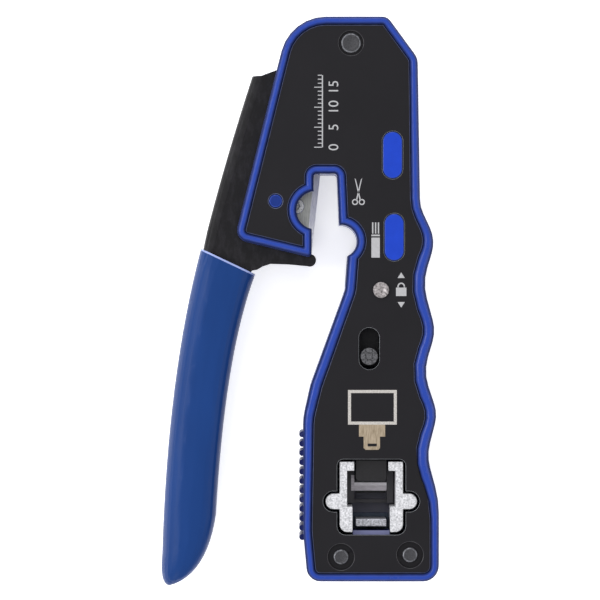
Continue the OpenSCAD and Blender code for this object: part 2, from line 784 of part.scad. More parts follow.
function grip_ring(l, r, h) =
    let (c = (l + r) / 2, u = (r - l) / 2, n = 28)
    [for (k = [0:n - 1]) let (a = 360 * k / n, e = cos(a) > 0 ? palm_power : finger_power,
        x = sign(cos(a)) * pow(abs(cos(a)), e), z = sign(sin(a)) * pow(abs(sin(a)), e))
        [c.x + u.x * x, c.y + u.y * x, mid + h * z]];

grip_half = grip_t / 2;

// The sleeve, lofted through rings that follow its two edges.
module grip_body() {
    main = [for (i = [0:16]) let (t = i / 16, h = grip_half * (i == 0 ? 0.93 : 1))
        grip_ring(at(grip_left, t), at(grip_right, t), h)];
    tail = [for (i = [1:12]) let (t = i / 12.3)
        grip_ring(at(grip_left_end, t), at(grip_right_end, t), grip_half * sqrt(1 - pow(t, 2.6)))];
    rings = concat(main, tail);
    n = len(rings[0]);
    last = len(rings) - 1;
    polyhedron(
        points = flat(rings),
        faces = concat(
            [for (i = [0:last - 1]) for (k = [0:n - 1]) let (k2 = (k + 1) % n)
                [i * n + k, i * n + k2, (i + 1) * n + k2, (i + 1) * n + k]],
            [[for (k = [n - 1:-1:0]) k]],
            [[for (k = [0:n - 1]) last * n + k]]));
}

module shank_2d(grow) {
    polygon(concat(
        [at(grip_left, 0) + [3 - grow, 4], at(grip_right, 0) + [-0.5, 4],
         at(grip_right, 0) + [-0.5, 1]],
        [for (i = [0:12])
            shank_right(shank_start + (shank_end - shank_start) * i / 12) + [grow, 0]],
        [for (i = [12:-1:0]) shank_left(-0.05 + (shank_end + 0.05) * i / 12) - [grow, 0]]));
}

module grip_sleeve() {
    color(GRIP_BLUE)
    difference() {
        grip_body();
        translate([0, 0, lever_z - 0.05]) linear_extrude(channel_w + 0.1) shank_2d(0.05);
    }
}

grip_rivet_place = (at(grip_left, 0.7) + at(grip_right, 0.7)) / 2;

module grip_rivet() {
    color(STEEL)
    translate([grip_rivet_place.x, grip_rivet_place.y, mid - inside_half])
        cylinder(r = 1.5, h = 2 * inside_half);
}

// ---------------------------------------------------------------- blade

blade_top = [5.1, 31.75];
blade_low = [3.1, 13.25];
blade_bevel = 1.5;
blade_back = 7.2;
blade_z = mid - blade_t / 2;
blade_screw_places = [[-0.95, 23.7], [-2, 16.8]];
carrier_rivet_places = [[-8, 27.5], [-9, 17.5]];

module blade_carrier() {
    color("#3d3d40")
    difference() {
        translate([0, 0, mid - inside_half + 0.05])
            linear_extrude(inside_half - blade_t / 2 - 0.05)
            polygon([[-10.5, 30], [1.6, 30], [0, 14.5], [-11.5, 14.5]]);
        for (p = carrier_rivet_places)
            translate([p.x, p.y, -1]) cylinder(r = 1.01, h = body_t);
        for (p = blade_screw_places)
            translate([p.x, p.y, -1]) cylinder(r = 0.9, h = body_t);
    }
}

module carrier_rivets() {
    color(STEEL)
    for (p = carrier_rivet_places)
        translate([p.x, p.y, lever_z]) cylinder(r = 1, h = channel_w);
}

blade_lean = atan2(blade_top.x - blade_low.x, blade_top.y - blade_low.y);

// The blade, with its long edge ground from both faces.
module cutting_blade() {
    color("#dcdfd8")
    difference() {
        translate([blade_low.x, blade_low.y, mid]) rotate([0, 0, -blade_lean]) rotate([-90, 0, 0])
            linear_extrude(norm(blade_top - blade_low))
            polygon([[0, 0], [-blade_bevel, blade_t / 2], [-blade_back, blade_t / 2],
                     [-blade_back, -blade_t / 2], [-blade_bevel, -blade_t / 2]]);
        for (p = blade_screw_places)
            translate([p.x, p.y, -1]) cylinder(r = 0.95, h = body_t);
    }
}

module blade_screws() {
    color(STEEL)
    for (p = blade_screw_places)
        translate([p.x, p.y, mid])
        difference() {
            union() {
                translate([0, 0, blade_t / 2]) cylinder(r = blade_head_r, h = 1);
                translate([0, 0, -3]) cylinder(r = 0.85, h = 3.2 + blade_t / 2);
            }
            translate([0, 0, blade_t / 2 + 0.5]) cylinder(r = 0.8, h = 1, $fn = 6);
        }
}

// ---------------------------------------------------------------- ram

eye_r = crank_pin_r + 0.1;
eye_wall = 1.15;
arm_hi = hinge.y - 10.25;
arm_low = arm_hi - 3.5;
foot_hi = -33.2;
foot_low = -36.4;
post_w = 4;
post_low = -41.2;

// Push rod, cut from one plate: a slotted eye, an arm round the hinge, the shank and its foot.
module push_rod() {
    color("#8d8f94")
    difference() {
        translate([0, 0, mid - rod_t / 2]) linear_extrude(rod_t) {
            for (s = [0, 1])
                translate([crank.x + s * crank_shift, crank.y]) circle(eye_r + eye_wall);
            polygon([[crank.x - 1.6, crank.y], [crank.x - 1.6, arm_low + 1.6], [crank.x, arm_low],
                     [rod_left - 1.6, arm_low], [rod_left, arm_low - 1.6], [rod_left, foot_hi],
                     [port_x - post_w / 2 - 1.6, foot_hi], [port_x - post_w / 2 - 1.6, foot_low],
                     [port_x - post_w / 2, foot_low], [port_x - post_w / 2, post_low],
                     [port_x + post_w / 2, post_low], [port_x + post_w / 2, foot_low],
                     [rod_left + rod_w - 1.6, foot_low], [rod_left + rod_w, foot_low + 1.6],
                     [rod_left + rod_w, arm_hi - 1.6], [rod_left + rod_w - 1.6, arm_hi],
                     [crank.x + crank_shift + 2.6, arm_hi], [crank.x + crank_shift + 2.6, crank.y]]);
        }
        translate([0, 0, -1]) linear_extrude(body_t + 2) {
            for (s = [0, 1])
                translate([crank.x + s * crank_shift, crank.y]) circle(eye_r);
            translate([crank.x, crank.y - eye_r]) square([crank_shift, 2 * eye_r]);
        }
        translate([port_x, punch_pin_y, -1]) cylinder(r = punch_pin_r + 0.01, h = body_t);
    }
}

punch_low = -45.35;
punch_top = -38;
punch_step = -40.2;
punch_z = [stop_hi + 0.3, 17.4];
punch_tail_hi = 14.6;
heel_low = lip_y + ram_travel + 0.8;
heel_z = 7.3;
punch_corner = 0.8;
punch_pin_y = -39.2;
punch_pin_r = 0.8;
tooth_w = 0.5;
tooth_h = 0.9;
teeth_hi = 15;

// Punch whose teeth press the plug's contacts down.
module crimp_punch() {
    color("#303033")
    difference() {
        translate([port_x, 0, 0]) {
            translate([0, 0, punch_z[0]]) linear_extrude(punch_z[1] - punch_z[0]) polygon(concat(
                [[-punch_w / 2, punch_step], [punch_w / 2, punch_step]],
                arc_points([punch_w / 2 - punch_corner, punch_low + punch_corner],
                           punch_corner, 0, -90, 4),
                arc_points([-punch_w / 2 + punch_corner, punch_low + punch_corner],
                           punch_corner, -90, -180, 4)));
            translate([-punch_w / 2, punch_step - 1, punch_z[0]])
                cube([punch_w, punch_top - punch_step + 1, punch_tail_hi - punch_z[0]]);
            translate([-punch_w / 2, heel_low, heel_z])
                cube([punch_w, punch_top - heel_low, punch_z[0] - heel_z + 0.1]);
        }
        translate([port_x - post_w / 2 - 0.02, post_low - 0.02, mid - rod_t / 2 - 0.02])
            cube([post_w + 0.04, punch_top - post_low + 1, rod_t + 0.04]);
        for (i = [0:tooth_count])
            translate([port_x + (i - tooth_count / 2) * tooth_pitch - (tooth_pitch - tooth_w) / 2,
                       punch_low - 1, -1])
                cube([tooth_pitch - tooth_w, 1 + tooth_h, 1 + teeth_hi]);
        translate([port_x, punch_pin_y, -1]) cylinder(r = punch_pin_r + 0.01, h = body_t + 2);
        for (s = [-1, 1])
            translate([port_x + s * trim_screw_x, trim_screw_y, 0])
                cylinder(r = trim_screw_r + 0.02, h = trim_screw_hi);
    }
}

module punch_pin() {
    color(STEEL)
    translate([port_x, punch_pin_y, heel_z]) cylinder(r = punch_pin_r, h = punch_tail_hi - heel_z);
}

trim_t = 0.6;
trim_z = heel_z - trim_t;
trim_low = anvil_y + ram_travel - 0.15;
trim_screw_x = 2.9;
trim_screw_y = -41.6;
trim_screw_r = 0.55;
trim_screw_hi = 12;

module trim_blade() {
    color("#dcdfd8")
    difference() {
        translate([port_x - punch_w / 2, trim_low, trim_z])
            cube([punch_w, punch_top - trim_low, trim_t]);
        translate([port_x, punch_pin_y, 0]) cylinder(r = punch_pin_r + 0.3, h = body_t);
        for (s = [-1, 1])
            translate([port_x + s * trim_screw_x, trim_screw_y, -1])
                cylinder(r = trim_screw_r + 0.02, h = body_t);
    }
}

module trim_blade_screws() {
    color(STEEL)
    for (s = [-1, 1])
        translate([port_x + s * trim_screw_x, trim_screw_y, trim_z - 0.6]) {
            cylinder(r = 0.85, h = 0.6);
            cylinder(r = trim_screw_r, h = trim_screw_hi - trim_z);
        }
}

// ---------------------------------------------------------------- lock

hook_floor = 34;
hook_t = 2;
hook_tip_x = 7.7;
hook_tip_w = 1.4;
hook_tip_y = 38.4;
bar_x = 17;
bar_w = 2.4;
bar_wide = 5.6;

module lock_bar() {
    color("#8d8f94")
    difference() {
        translate([0, 0, bar_z]) linear_extrude(bar_t)
            polygon([[bar_x, hook_floor], [hook_tip_x, hook_floor], [hook_tip_x, hook_tip_y],
                     [hook_tip_x + hook_tip_w, hook_tip_y],
                     [hook_tip_x + hook_tip_w, hook_floor + hook_t],
                     [bar_x + bar_w, hook_floor + hook_t], [bar_x + bar_w, 8],
                     [bar_x + bar_wide, 5], [bar_x + bar_wide, -5], [lock_x + 2.6, -8],
                     [lock_x + 2.6, lock_y - 2.6], [lock_x - 2.4, lock_y - 2.6],
                     [lock_x - 2.4, -4], [bar_x, 0]]);
        translate([rivet.x, rivet.y - lock_travel / 2, bar_z - 1]) linear_extrude(4)
            stadium([2 * rivet_r + 0.3, lock_travel + 2 * rivet_r + 0.4]);
        translate([lock_x, lock_y, 0]) cylinder(r = 1.21, h = body_t);
    }
}

knurl_x = 0.85;

// Knob with crossed grooves, and a tenon in the bar.
module lock_knob() {
    color("#29292b")
    translate([lock_x, lock_y, 0])
    difference() {
        union() {
            translate([0, 0, bar_z]) cylinder(r = 1.2, h = bar_t + 0.5);
            translate([0, 0, bar_z + bar_t]) cylinder(r = knob_r, h = body_t - 0.4 - bar_z - bar_t);
        }
        for (s = [-1, 1]) {
            translate([-knob_r - 1, s * knurl_x - 0.2, body_t - 0.8]) cube([2 * knob_r + 2, 0.4, 1]);
            translate([s * knurl_x - 0.2, -knob_r - 1, body_t - 0.8]) cube([0.4, 2 * knob_r + 2, 1]);
        }
    }
}

front_shell();
rear_shell();
front_plate();
rear_plate();
hinge_pin();
hinge_sleeve();
return_spring();
lock_rivet();
housing_screws();
housing_nuts();
jaw_left();
jaw_right();
plug_stop();
latch_bar();
trim_cover();
trim_cover_screws();
lever();
grip_sleeve();
grip_rivet();
blade_carrier();
carrier_rivets();
cutting_blade();
blade_screws();
crank_pin();
catch_pin();
push_rod();
crimp_punch();
punch_pin();
trim_blade();
trim_blade_screws();
lock_bar();
lock_knob();
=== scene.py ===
"""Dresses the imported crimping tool.

Its housing, lever, port and lock get their finished shapes and materials, on the frame's bodies.
"""

import json
import math

import bmesh
import bpy
from bpy.props import FloatProperty, FloatVectorProperty, PointerProperty
from mathutils import Matrix, Vector


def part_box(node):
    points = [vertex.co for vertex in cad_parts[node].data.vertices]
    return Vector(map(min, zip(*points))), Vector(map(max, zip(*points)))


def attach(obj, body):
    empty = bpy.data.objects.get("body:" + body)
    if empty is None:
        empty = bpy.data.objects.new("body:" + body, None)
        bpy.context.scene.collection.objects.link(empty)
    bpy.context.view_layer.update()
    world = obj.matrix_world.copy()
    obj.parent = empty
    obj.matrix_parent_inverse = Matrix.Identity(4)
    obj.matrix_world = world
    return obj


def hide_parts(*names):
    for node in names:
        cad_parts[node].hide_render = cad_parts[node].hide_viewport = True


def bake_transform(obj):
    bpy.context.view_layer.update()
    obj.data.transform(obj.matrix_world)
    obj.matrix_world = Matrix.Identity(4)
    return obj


bl_info = {
    "name": "Crimping tool",
    "version": (1, 0, 0),
    "blender": (4, 5, 0),
    "location": "3D View > Sidebar > Crimping tool",
    "description": "Builds the dressed pieces of a modular plug crimping tool on its frame",
    "category": "Object",
}

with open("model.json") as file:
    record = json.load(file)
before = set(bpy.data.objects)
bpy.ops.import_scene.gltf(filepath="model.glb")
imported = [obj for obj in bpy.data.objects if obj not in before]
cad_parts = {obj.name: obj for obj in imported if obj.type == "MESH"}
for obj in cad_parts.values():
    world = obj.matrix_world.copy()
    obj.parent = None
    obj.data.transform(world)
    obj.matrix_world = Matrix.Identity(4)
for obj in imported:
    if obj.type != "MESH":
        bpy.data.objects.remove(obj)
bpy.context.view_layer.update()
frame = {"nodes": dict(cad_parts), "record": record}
NODES = frame["nodes"]
RECORD = frame["record"]
BODY_OF = {n: body for body, nodes in RECORD["behaviour"]["bodies"].items() for n in nodes}

MM = 0.001
# Vertices nearer than this are one, and faces that meet within this many degrees are one face.
MERGE = 0.002 * MM
ONE_FACE = 0.4
# An edge is square where its faces turn by more than this many degrees.
SQUARE = 80
# Heights of the two halves' parting plane and of the cover plates' outer faces.
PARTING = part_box("front_shell")[0].z
PLATE_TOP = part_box("front_plate")[1].z
PLATE_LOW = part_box("rear_plate")[0].z

# How far the shell's pads stand above the plate, the round of their edges, and the least area of
# an oval pad: what is smaller is the gate stud.
PAD_STAND = 0.1 * MM
PAD_BEVEL = 0.25 * MM
PAD_AREA = 20 * MM * MM
# The strip that the plug's latch rubs, which carries a painted highlight: its height, and half of
# its width about the port's middle.
SKIRT_TOP = 16.7 * MM
SKIRT_HALF = 2 * MM
PORT_X = (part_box("jaw_left")[0].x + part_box("jaw_right")[1].x) / 2
# A face lies flat where its normal is at least this upright.
FLAT = 0.99
# Two levels are the same where they differ by less than this.
LEVEL_SLACK = 0.1 * MM
# The thumb ribs: where they grow from the side wall, and between which heights, in mm.
RIB_ROOT = 0.72
RIB_SPAN = (-62, -31)
# How far from the parting plane the painted shade of the deep flanks beside the rims begins and is
# full.
RIM_FLANK = (7.3 * MM, 8.3 * MM)
# How level a crown's normal is at least, and how level a full flank's is at most; the crowns are
# painted lighter and the flanks darker, as painted light and shade.
CROWN_LEVEL, FLANK_LEVEL = 0.84, 0.5
# The port's inner walls, which are painted in shade: x, y from and to, in mm.
PORT_WELL = (12.2, -58.6, 23.4, -44)
# Height of the rear shell's floor, which shows through the port.
WELL_FLOOR = 4.4 * MM

# Zones of the plates, in mm, whose edges the hands rub and which carry a painted highlight: port,
# lock slot and pads.
RUBBED_ZONES = ((4, -61, 32, -38), (12, -19, 22.5, -5), (19.5, 8.5, 26.6, 43.5))
# The trimming cover's faces this upright look into the port and are painted lighter, as painted
# light.
INWARD = 0.5
# How far round a sunk head its recess reaches, and how much wider its chamfer is than the others.
RECESS_REACH = 4 * MM
RECESS_WIDER = 1.6

# Radius of a housing screw's head, and the round of the heads' and of the finest pieces' edges.
SCREW_HEAD = 1.85 * MM
HEAD_BEVEL = 0.35 * MM
FINE_BEVEL = 0.15 * MM
# Faces that meet under this many degrees shade as one surface.
SMOOTH_BELOW = 35

# The stop's lip, painted a light grey with a painted glint along it, in mm: its ends, where the
# frame's opening begins, the top of the arm beside it, then the lip's top, the end of its glint and
# its low edge.
LIP_ENDS = (12.95, 21.9)
LIP_OPENING = 13.75
LIP_ARM_TOP = -44.3
LIP_ROWS = (-46.2, -46.95, -48.25)
LIP_DEPTH = 0.5 * MM

# The rolled web stops short of the sleeve; this run carries its end inside.
WEB_END_X = -21.7 * MM
WEB_END_REACH = 0.75 * MM
WEB_RUN_IN = Vector((-0.12, -1.3, 0)) * MM
# The honed bevel leans between these shares of level; the ground faces don't.
HONED_LEAN = (0.2, 0.98)

# The grip's crease: its way down the grip in mm, its rise and how far it fades to each side.
CREASE = ((-22.4, 10), (-24, -6.2), (-26.3, -18.8), (-27.5, -27), (-29, -52.5), (-30.2, -66))
CREASE_RISE = 0.35 * MM
CREASE_WIDTHS = (5 * MM, 4 * MM)
# Only faces this level and edges this long are cut finer for it, and only what lies this far
# from the grip's middle plane rises.
CREASE_LEVEL = 0.5
CREASE_STEP = 0.3 * MM
CREASE_FROM = 5.4 * MM


def head_places():
    """Middles of the sunk heads in the cover plates: the hinge pin and both screws."""
    hinge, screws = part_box("hinge_pin"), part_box("housing_screws")
    in_by = Vector((SCREW_HEAD, SCREW_HEAD))
    return [(hinge[0].xy + hinge[1].xy) / 2, screws[0].xy + in_by, screws[1].xy - in_by]


def crease_x(y):
    """Where the grip's crease runs at a height."""
    for (x0, y0), (x1, y1) in zip(CREASE, CREASE[1:]):
        if y >= y1 * MM or (x1, y1) == CREASE[-1]:
            return (x0 + (x1 - x0) * (y / MM - y0) / (y1 - y0)) * MM


def linear(code):
    """The linear colour of an sRGB hex code."""
    parts = [int(code[i:i + 2], 16) / 255 for i in (1, 3, 5)]
    return tuple(c / 12.92 if c <= 0.04045 else ((c + 0.055) / 1.055) ** 2.4 for c in parts)


def shade(colour, factor):
    """A colour made darker or lighter, with its alpha."""
    return tuple(min(1, c * factor) for c in colour[:3]) + (1,)


def colour_property(name, code, description):
    """A colour setting that starts at an sRGB code."""
    return FloatVectorProperty(name=name, description=description, subtype="COLOR", size=3,
                               min=0, max=1, default=linear(code))


def length_property(name, mm, description):
    """A length setting that starts at some millimetres."""
    return FloatProperty(name=name, description=description, subtype="DISTANCE", unit="LENGTH",
                         min=0, default=mm * MM, precision=5)


class CrimperColours(bpy.types.PropertyGroup):
    """Colours of the tool's finishes."""
    housing: colour_property("Housing", "#18368c", "Blue of the moulded housing")
    pad: colour_property("Pads", "#1539aa", "Blue of the flat pads in the front plate")
    plate: colour_property("Cover plate", "#131216", "Black coat of the cover plates")
    lever: colour_property("Lever", "#131215", "Black coat of the pressed lever")
    grip: colour_property("Grip", "#14346b", "Blue of the dipped grip")
    nylon: colour_property("Nylon", "#3a393e", "Black of the filled nylon parts")
    ink: colour_property("Ink", "#a6a6a9", "Pale ink of the printed marks")
    floor: colour_property("Floor", "#f6f6f7", "Floor under the tool")


class CrimperSizes(bpy.types.PropertyGroup):
    """Small sizes that only the dressed pieces have."""
    plate_chamfer: length_property("Plate chamfer", 0.3, "Bare chamfer round the plates' edges")
    parting_gap: length_property("Parting gap", 0.16, "Chamfer of the line where the shells meet")
    metal_bevel: length_property("Metal bevel", 0.2, "Broken edge of the machined pieces")
    lever_bevel: length_property("Lever bevel", 0.3, "Rolled edge of the lever's sheet")
    grip_lip: length_property("Grip lip", 0.45, "Height of the pale lip of the dipped grip")
    ink_height: length_property("Ink height", 0.03, "Height of the printed marks")


# ---------------------------------------------------------------- materials

def add(material, kind, links=None, **settings):
    """Adds a node, with its settings, and its inputs as values or links."""
    node = material.node_tree.nodes.new(kind)
    for name, value in settings.items():
        setattr(node, name, value)
    for socket, value in (links or {}).items():
        if isinstance(value, bpy.types.NodeSocket):
            material.node_tree.links.new(value, node.inputs[socket])
        else:
            node.inputs[socket].default_value = value
    return node


def per(mm):
    """Texture scale whose features are that many millimetres wide."""
    return 1 / (mm * MM)


def new_material(name):
    """An empty material, its Object coordinates and its shader."""
    material = bpy.data.materials.new(name)
    material.use_nodes = True
    material.node_tree.nodes.clear()
    shader = add(material, "ShaderNodeBsdfPrincipled")
    add(material, "ShaderNodeOutputMaterial", {"Surface": shader.outputs["BSDF"]})
    where = add(material, "ShaderNodeTexCoord").outputs["Object"]
    return material, where, shader


def link(material, source, shader, socket):
    """Feeds a pattern into one of the shader's sockets."""
    material.node_tree.links.new(source, shader.inputs[socket])


def vary(material, shader, fac, dark, light, rough):
    """Colour and roughness that follow one pattern between two ends."""
    tone = add(material, "ShaderNodeMix", {"Factor": fac, "A": dark, "B": light}, data_type="RGBA")
    link(material, tone.outputs["Result"], shader, "Base Color")
    spread = add(material, "ShaderNodeMapRange",
                 {"Value": fac, "To Min": rough[0], "To Max": rough[1]})
    link(material, spread.outputs["Result"], shader, "Roughness")


def relief(material, shader, height, depth_mm, strength):
    """Bump of a given depth from a pattern."""
    bump = add(material, "ShaderNodeBump",
               {"Height": height, "Distance": depth_mm * MM, "Strength": strength})
    link(material, bump.outputs["Normal"], shader, "Normal")


def moulded_abs(name, colour):
    """Injection-moulded ABS: glossy crowns painted lighter, and deep flanks beside them painted in
    shade.
    """
    material, where, shader = new_material(name)
    steep = add(material, "ShaderNodeAttribute", attribute_name="flank").outputs["Fac"]
    height = add(material, "ShaderNodeSeparateXYZ", {"Vector": where}).outputs["Z"]
    away = add(material, "ShaderNodeMath", {0: height, 1: PARTING}, operation="SUBTRACT")
    depth = add(material, "ShaderNodeMath", {0: away.outputs["Value"]}, operation="ABSOLUTE")
    by_rim = add(material, "ShaderNodeMapRange",
                 {"Value": depth.outputs["Value"], "From Min": RIM_FLANK[0],
                  "From Max": RIM_FLANK[1]})
    flank = add(material, "ShaderNodeMath", {0: steep, 1: by_rim.outputs["Result"]},
                operation="MULTIPLY").outputs["Value"]
    # The real spark texture is 0.05 mm; it is drawn five times as coarse to show.
    spark = add(material, "ShaderNodeTexNoise",
                {"Vector": where, "Scale": per(0.25), "Detail": 2, "Roughness": 0.6})
    flow = add(material, "ShaderNodeTexNoise",
               {"Vector": where, "Scale": per(2.2), "Detail": 4, "Roughness": 0.6})
    mottle = add(material, "ShaderNodeMath", {0: flow.outputs["Fac"], 1: 0.5}, operation="SUBTRACT")
    painted_light = add(material, "ShaderNodeMath",
               {0: mottle.outputs["Value"], 1: 0.5, 2: flank}, operation="MULTIPLY_ADD",
               use_clamp=True)
    # Painted light and shade: lighter crowns, darker steep flanks near the rims, over a random
    # mottle.
    vary(material, shader, painted_light.outputs["Value"], shade(colour, 1.1), shade(colour, 0.24),
         (0.22, 0.95))
    shader.inputs["Specular IOR Level"].default_value = 0.3
    relief(material, shader, spark.outputs["Fac"], 0.02, 0.5)
    return material


def polished_abs(name, colour):
    """The same ABS where the mould is polished: smoother, so its blue looks purer."""
    material, where, shader = new_material(name)
    flow = add(material, "ShaderNodeTexNoise",
               {"Vector": where, "Scale": per(2.5), "Detail": 3, "Roughness": 0.6})
    vary(material, shader, flow.outputs["Fac"], shade(colour, 0.85), shade(colour, 1.12),
         (0.35, 0.45))
    shader.inputs["Specular IOR Level"].default_value = 0.15
    relief(material, shader, flow.outputs["Fac"], 0.02, 0.3)
    return material


def satin_coat(name, colour):
    """Satin black coat on steel sheet: nearly even, with a faint orange peel and dust."""
    material, where, shader = new_material(name)
    peel = add(material, "ShaderNodeTexNoise",
               {"Vector": where, "Scale": per(0.6), "Detail": 3, "Roughness": 0.5})
    cloud = add(material, "ShaderNodeTexNoise",
                {"Vector": where, "Scale": per(16), "Detail": 5, "Roughness": 0.6})
    vary(material, shader, cloud.outputs["Fac"], shade(colour, 0.8), shade(colour, 1.25),
         (0.4, 0.52))
    relief(material, shader, peel.outputs["Fac"], 0.012, 0.45)
    shader.inputs["Specular IOR Level"].default_value = 0.18
    return material


def worn_edge(name, dark, light):
    """The coat's sheared edge, thinned by rubbing: grey where the steel starts to show; its colours
    also carry painted highlights and reflections.
    """
    material, where, shader = new_material(name)
    rub = add(material, "ShaderNodeTexNoise",
              {"Vector": where, "Scale": per(1.8), "Detail": 5, "Roughness": 0.7})
    vary(material, shader, rub.outputs["Fac"], shade(dark, 1), shade(light, 1), (0.25, 0.4))
    relief(material, shader, rub.outputs["Fac"], 0.02, 0.3)
    return material


def pressed_black_steel(name, colour):
    """Black-coated pressed steel: a matt, pebbled coat with scuffs that run down the lever."""
    material, where, shader = new_material(name)
    pebble = add(material, "ShaderNodeTexNoise",
                 {"Vector": where, "Scale": per(0.5), "Detail": 4, "Roughness": 0.65})
    along = add(material, "ShaderNodeMapping",
                {"Vector": where, "Rotation": (0, 0, math.radians(-14)), "Scale": (1, 0.4, 1)})
    scuff = add(material, "ShaderNodeTexNoise",
                {"Vector": along.outputs["Vector"], "Scale": per(1.6), "Detail": 6,
                 "Roughness": 0.72})
    sharp = add(material, "ShaderNodeMapRange",
                {"Value": scuff.outputs["Fac"], "From Min": 0.46, "From Max": 0.72})
    vary(material, shader, sharp.outputs["Result"], shade(colour, 0.9), shade(colour, 2.4),
         (0.5, 0.4))
    relief(material, shader, pebble.outputs["Fac"], 0.05, 0.55)
    shader.inputs["Specular IOR Level"].default_value = 0.17
    return material


def dipped_vinyl(name, colour):
    """Plastisol grip, dipped and cured: a soft sheen, with long ripples where it ran."""
    material, where, shader = new_material(name)
    run = add(material, "ShaderNodeMapping",
              {"Vector": where, "Rotation": (0, 0, math.radians(-12)), "Scale": (1, 0.25, 1)})
    ripple = add(material, "ShaderNodeTexNoise",
                 {"Vector": run.outputs["Vector"], "Scale": per(7), "Detail": 3,
                  "Roughness": 0.5})
    pores = add(material, "ShaderNodeTexNoise",
                {"Vector": where, "Scale": per(0.7), "Detail": 2, "Roughness": 0.5})
    height = add(material, "ShaderNodeMath",
                 {0: ripple.outputs["Fac"], 1: pores.outputs["Fac"]}, operation="ADD")
    vary(material, shader, ripple.outputs["Fac"], shade(colour, 0.85), shade(colour, 1.2),
         (0.34, 0.44))
    relief(material, shader, height.outputs["Value"], 0.06, 0.35)
    shader.inputs["Specular IOR Level"].default_value = 0.1
    return material


def filled_nylon(name, colour):
    """Glass-filled nylon: matt black, with pale streaks of fibre at the surface."""
    material, where, shader = new_material(name)
    fibre = add(material, "ShaderNodeMapping", {"Vector": where, "Scale": (1, 0.2, 1)})
    streak = add(material, "ShaderNodeTexNoise",
                 {"Vector": fibre.outputs["Vector"], "Scale": per(0.4), "Detail": 4,
                  "Roughness": 0.7})
    vary(material, shader, streak.outputs["Fac"], shade(colour, 0.7), shade(colour, 1.6),
         (0.5, 0.7))
    relief(material, shader, streak.outputs["Fac"], 0.03, 0.5)
    shader.inputs["IOR"].default_value = 1.53
    return material


# How a grain is drawn out: in lines along the tool, or in streaks across it.
ALONG = (1, 0.06, 1)
ACROSS = (0.2, 1, 1)


def grained(name, dark, light, rough, grain_mm, depth_mm, stretch=(1, 1, 1), metallic=1.0,
            specular=0.5):
    """Metal, or nylon rubbed smooth, whose tone, gloss and relief follow one grain."""
    material, where, shader = new_material(name)
    lay = add(material, "ShaderNodeMapping", {"Vector": where, "Scale": stretch})
    grain = add(material, "ShaderNodeTexNoise",
                {"Vector": lay.outputs["Vector"], "Scale": per(grain_mm), "Detail": 4,
                 "Roughness": 0.6})
    mottle = add(material, "ShaderNodeMapRange",
                 {"Value": grain.outputs["Fac"], "From Min": 0.34, "From Max": 0.66})
    vary(material, shader, mottle.outputs["Result"], linear(dark) + (1,), linear(light) + (1,),
         rough)
    relief(material, shader, grain.outputs["Fac"], depth_mm, 0.5)
    shader.inputs["Metallic"].default_value = metallic
    shader.inputs["Specular IOR Level"].default_value = specular
    return material


def printed_ink(name, colour):
    """Pad-printed ink: flat and pale, a little thin in places."""
    material, where, shader = new_material(name)
    thin = add(material, "ShaderNodeTexNoise",
               {"Vector": where, "Scale": per(0.5), "Detail": 3, "Roughness": 0.6})
    vary(material, shader, thin.outputs["Fac"], shade(colour, 0.75), shade(colour, 1.05),
         (0.5, 0.6))
    relief(material, shader, thin.outputs["Fac"], 0.01, 0.3)
    return material


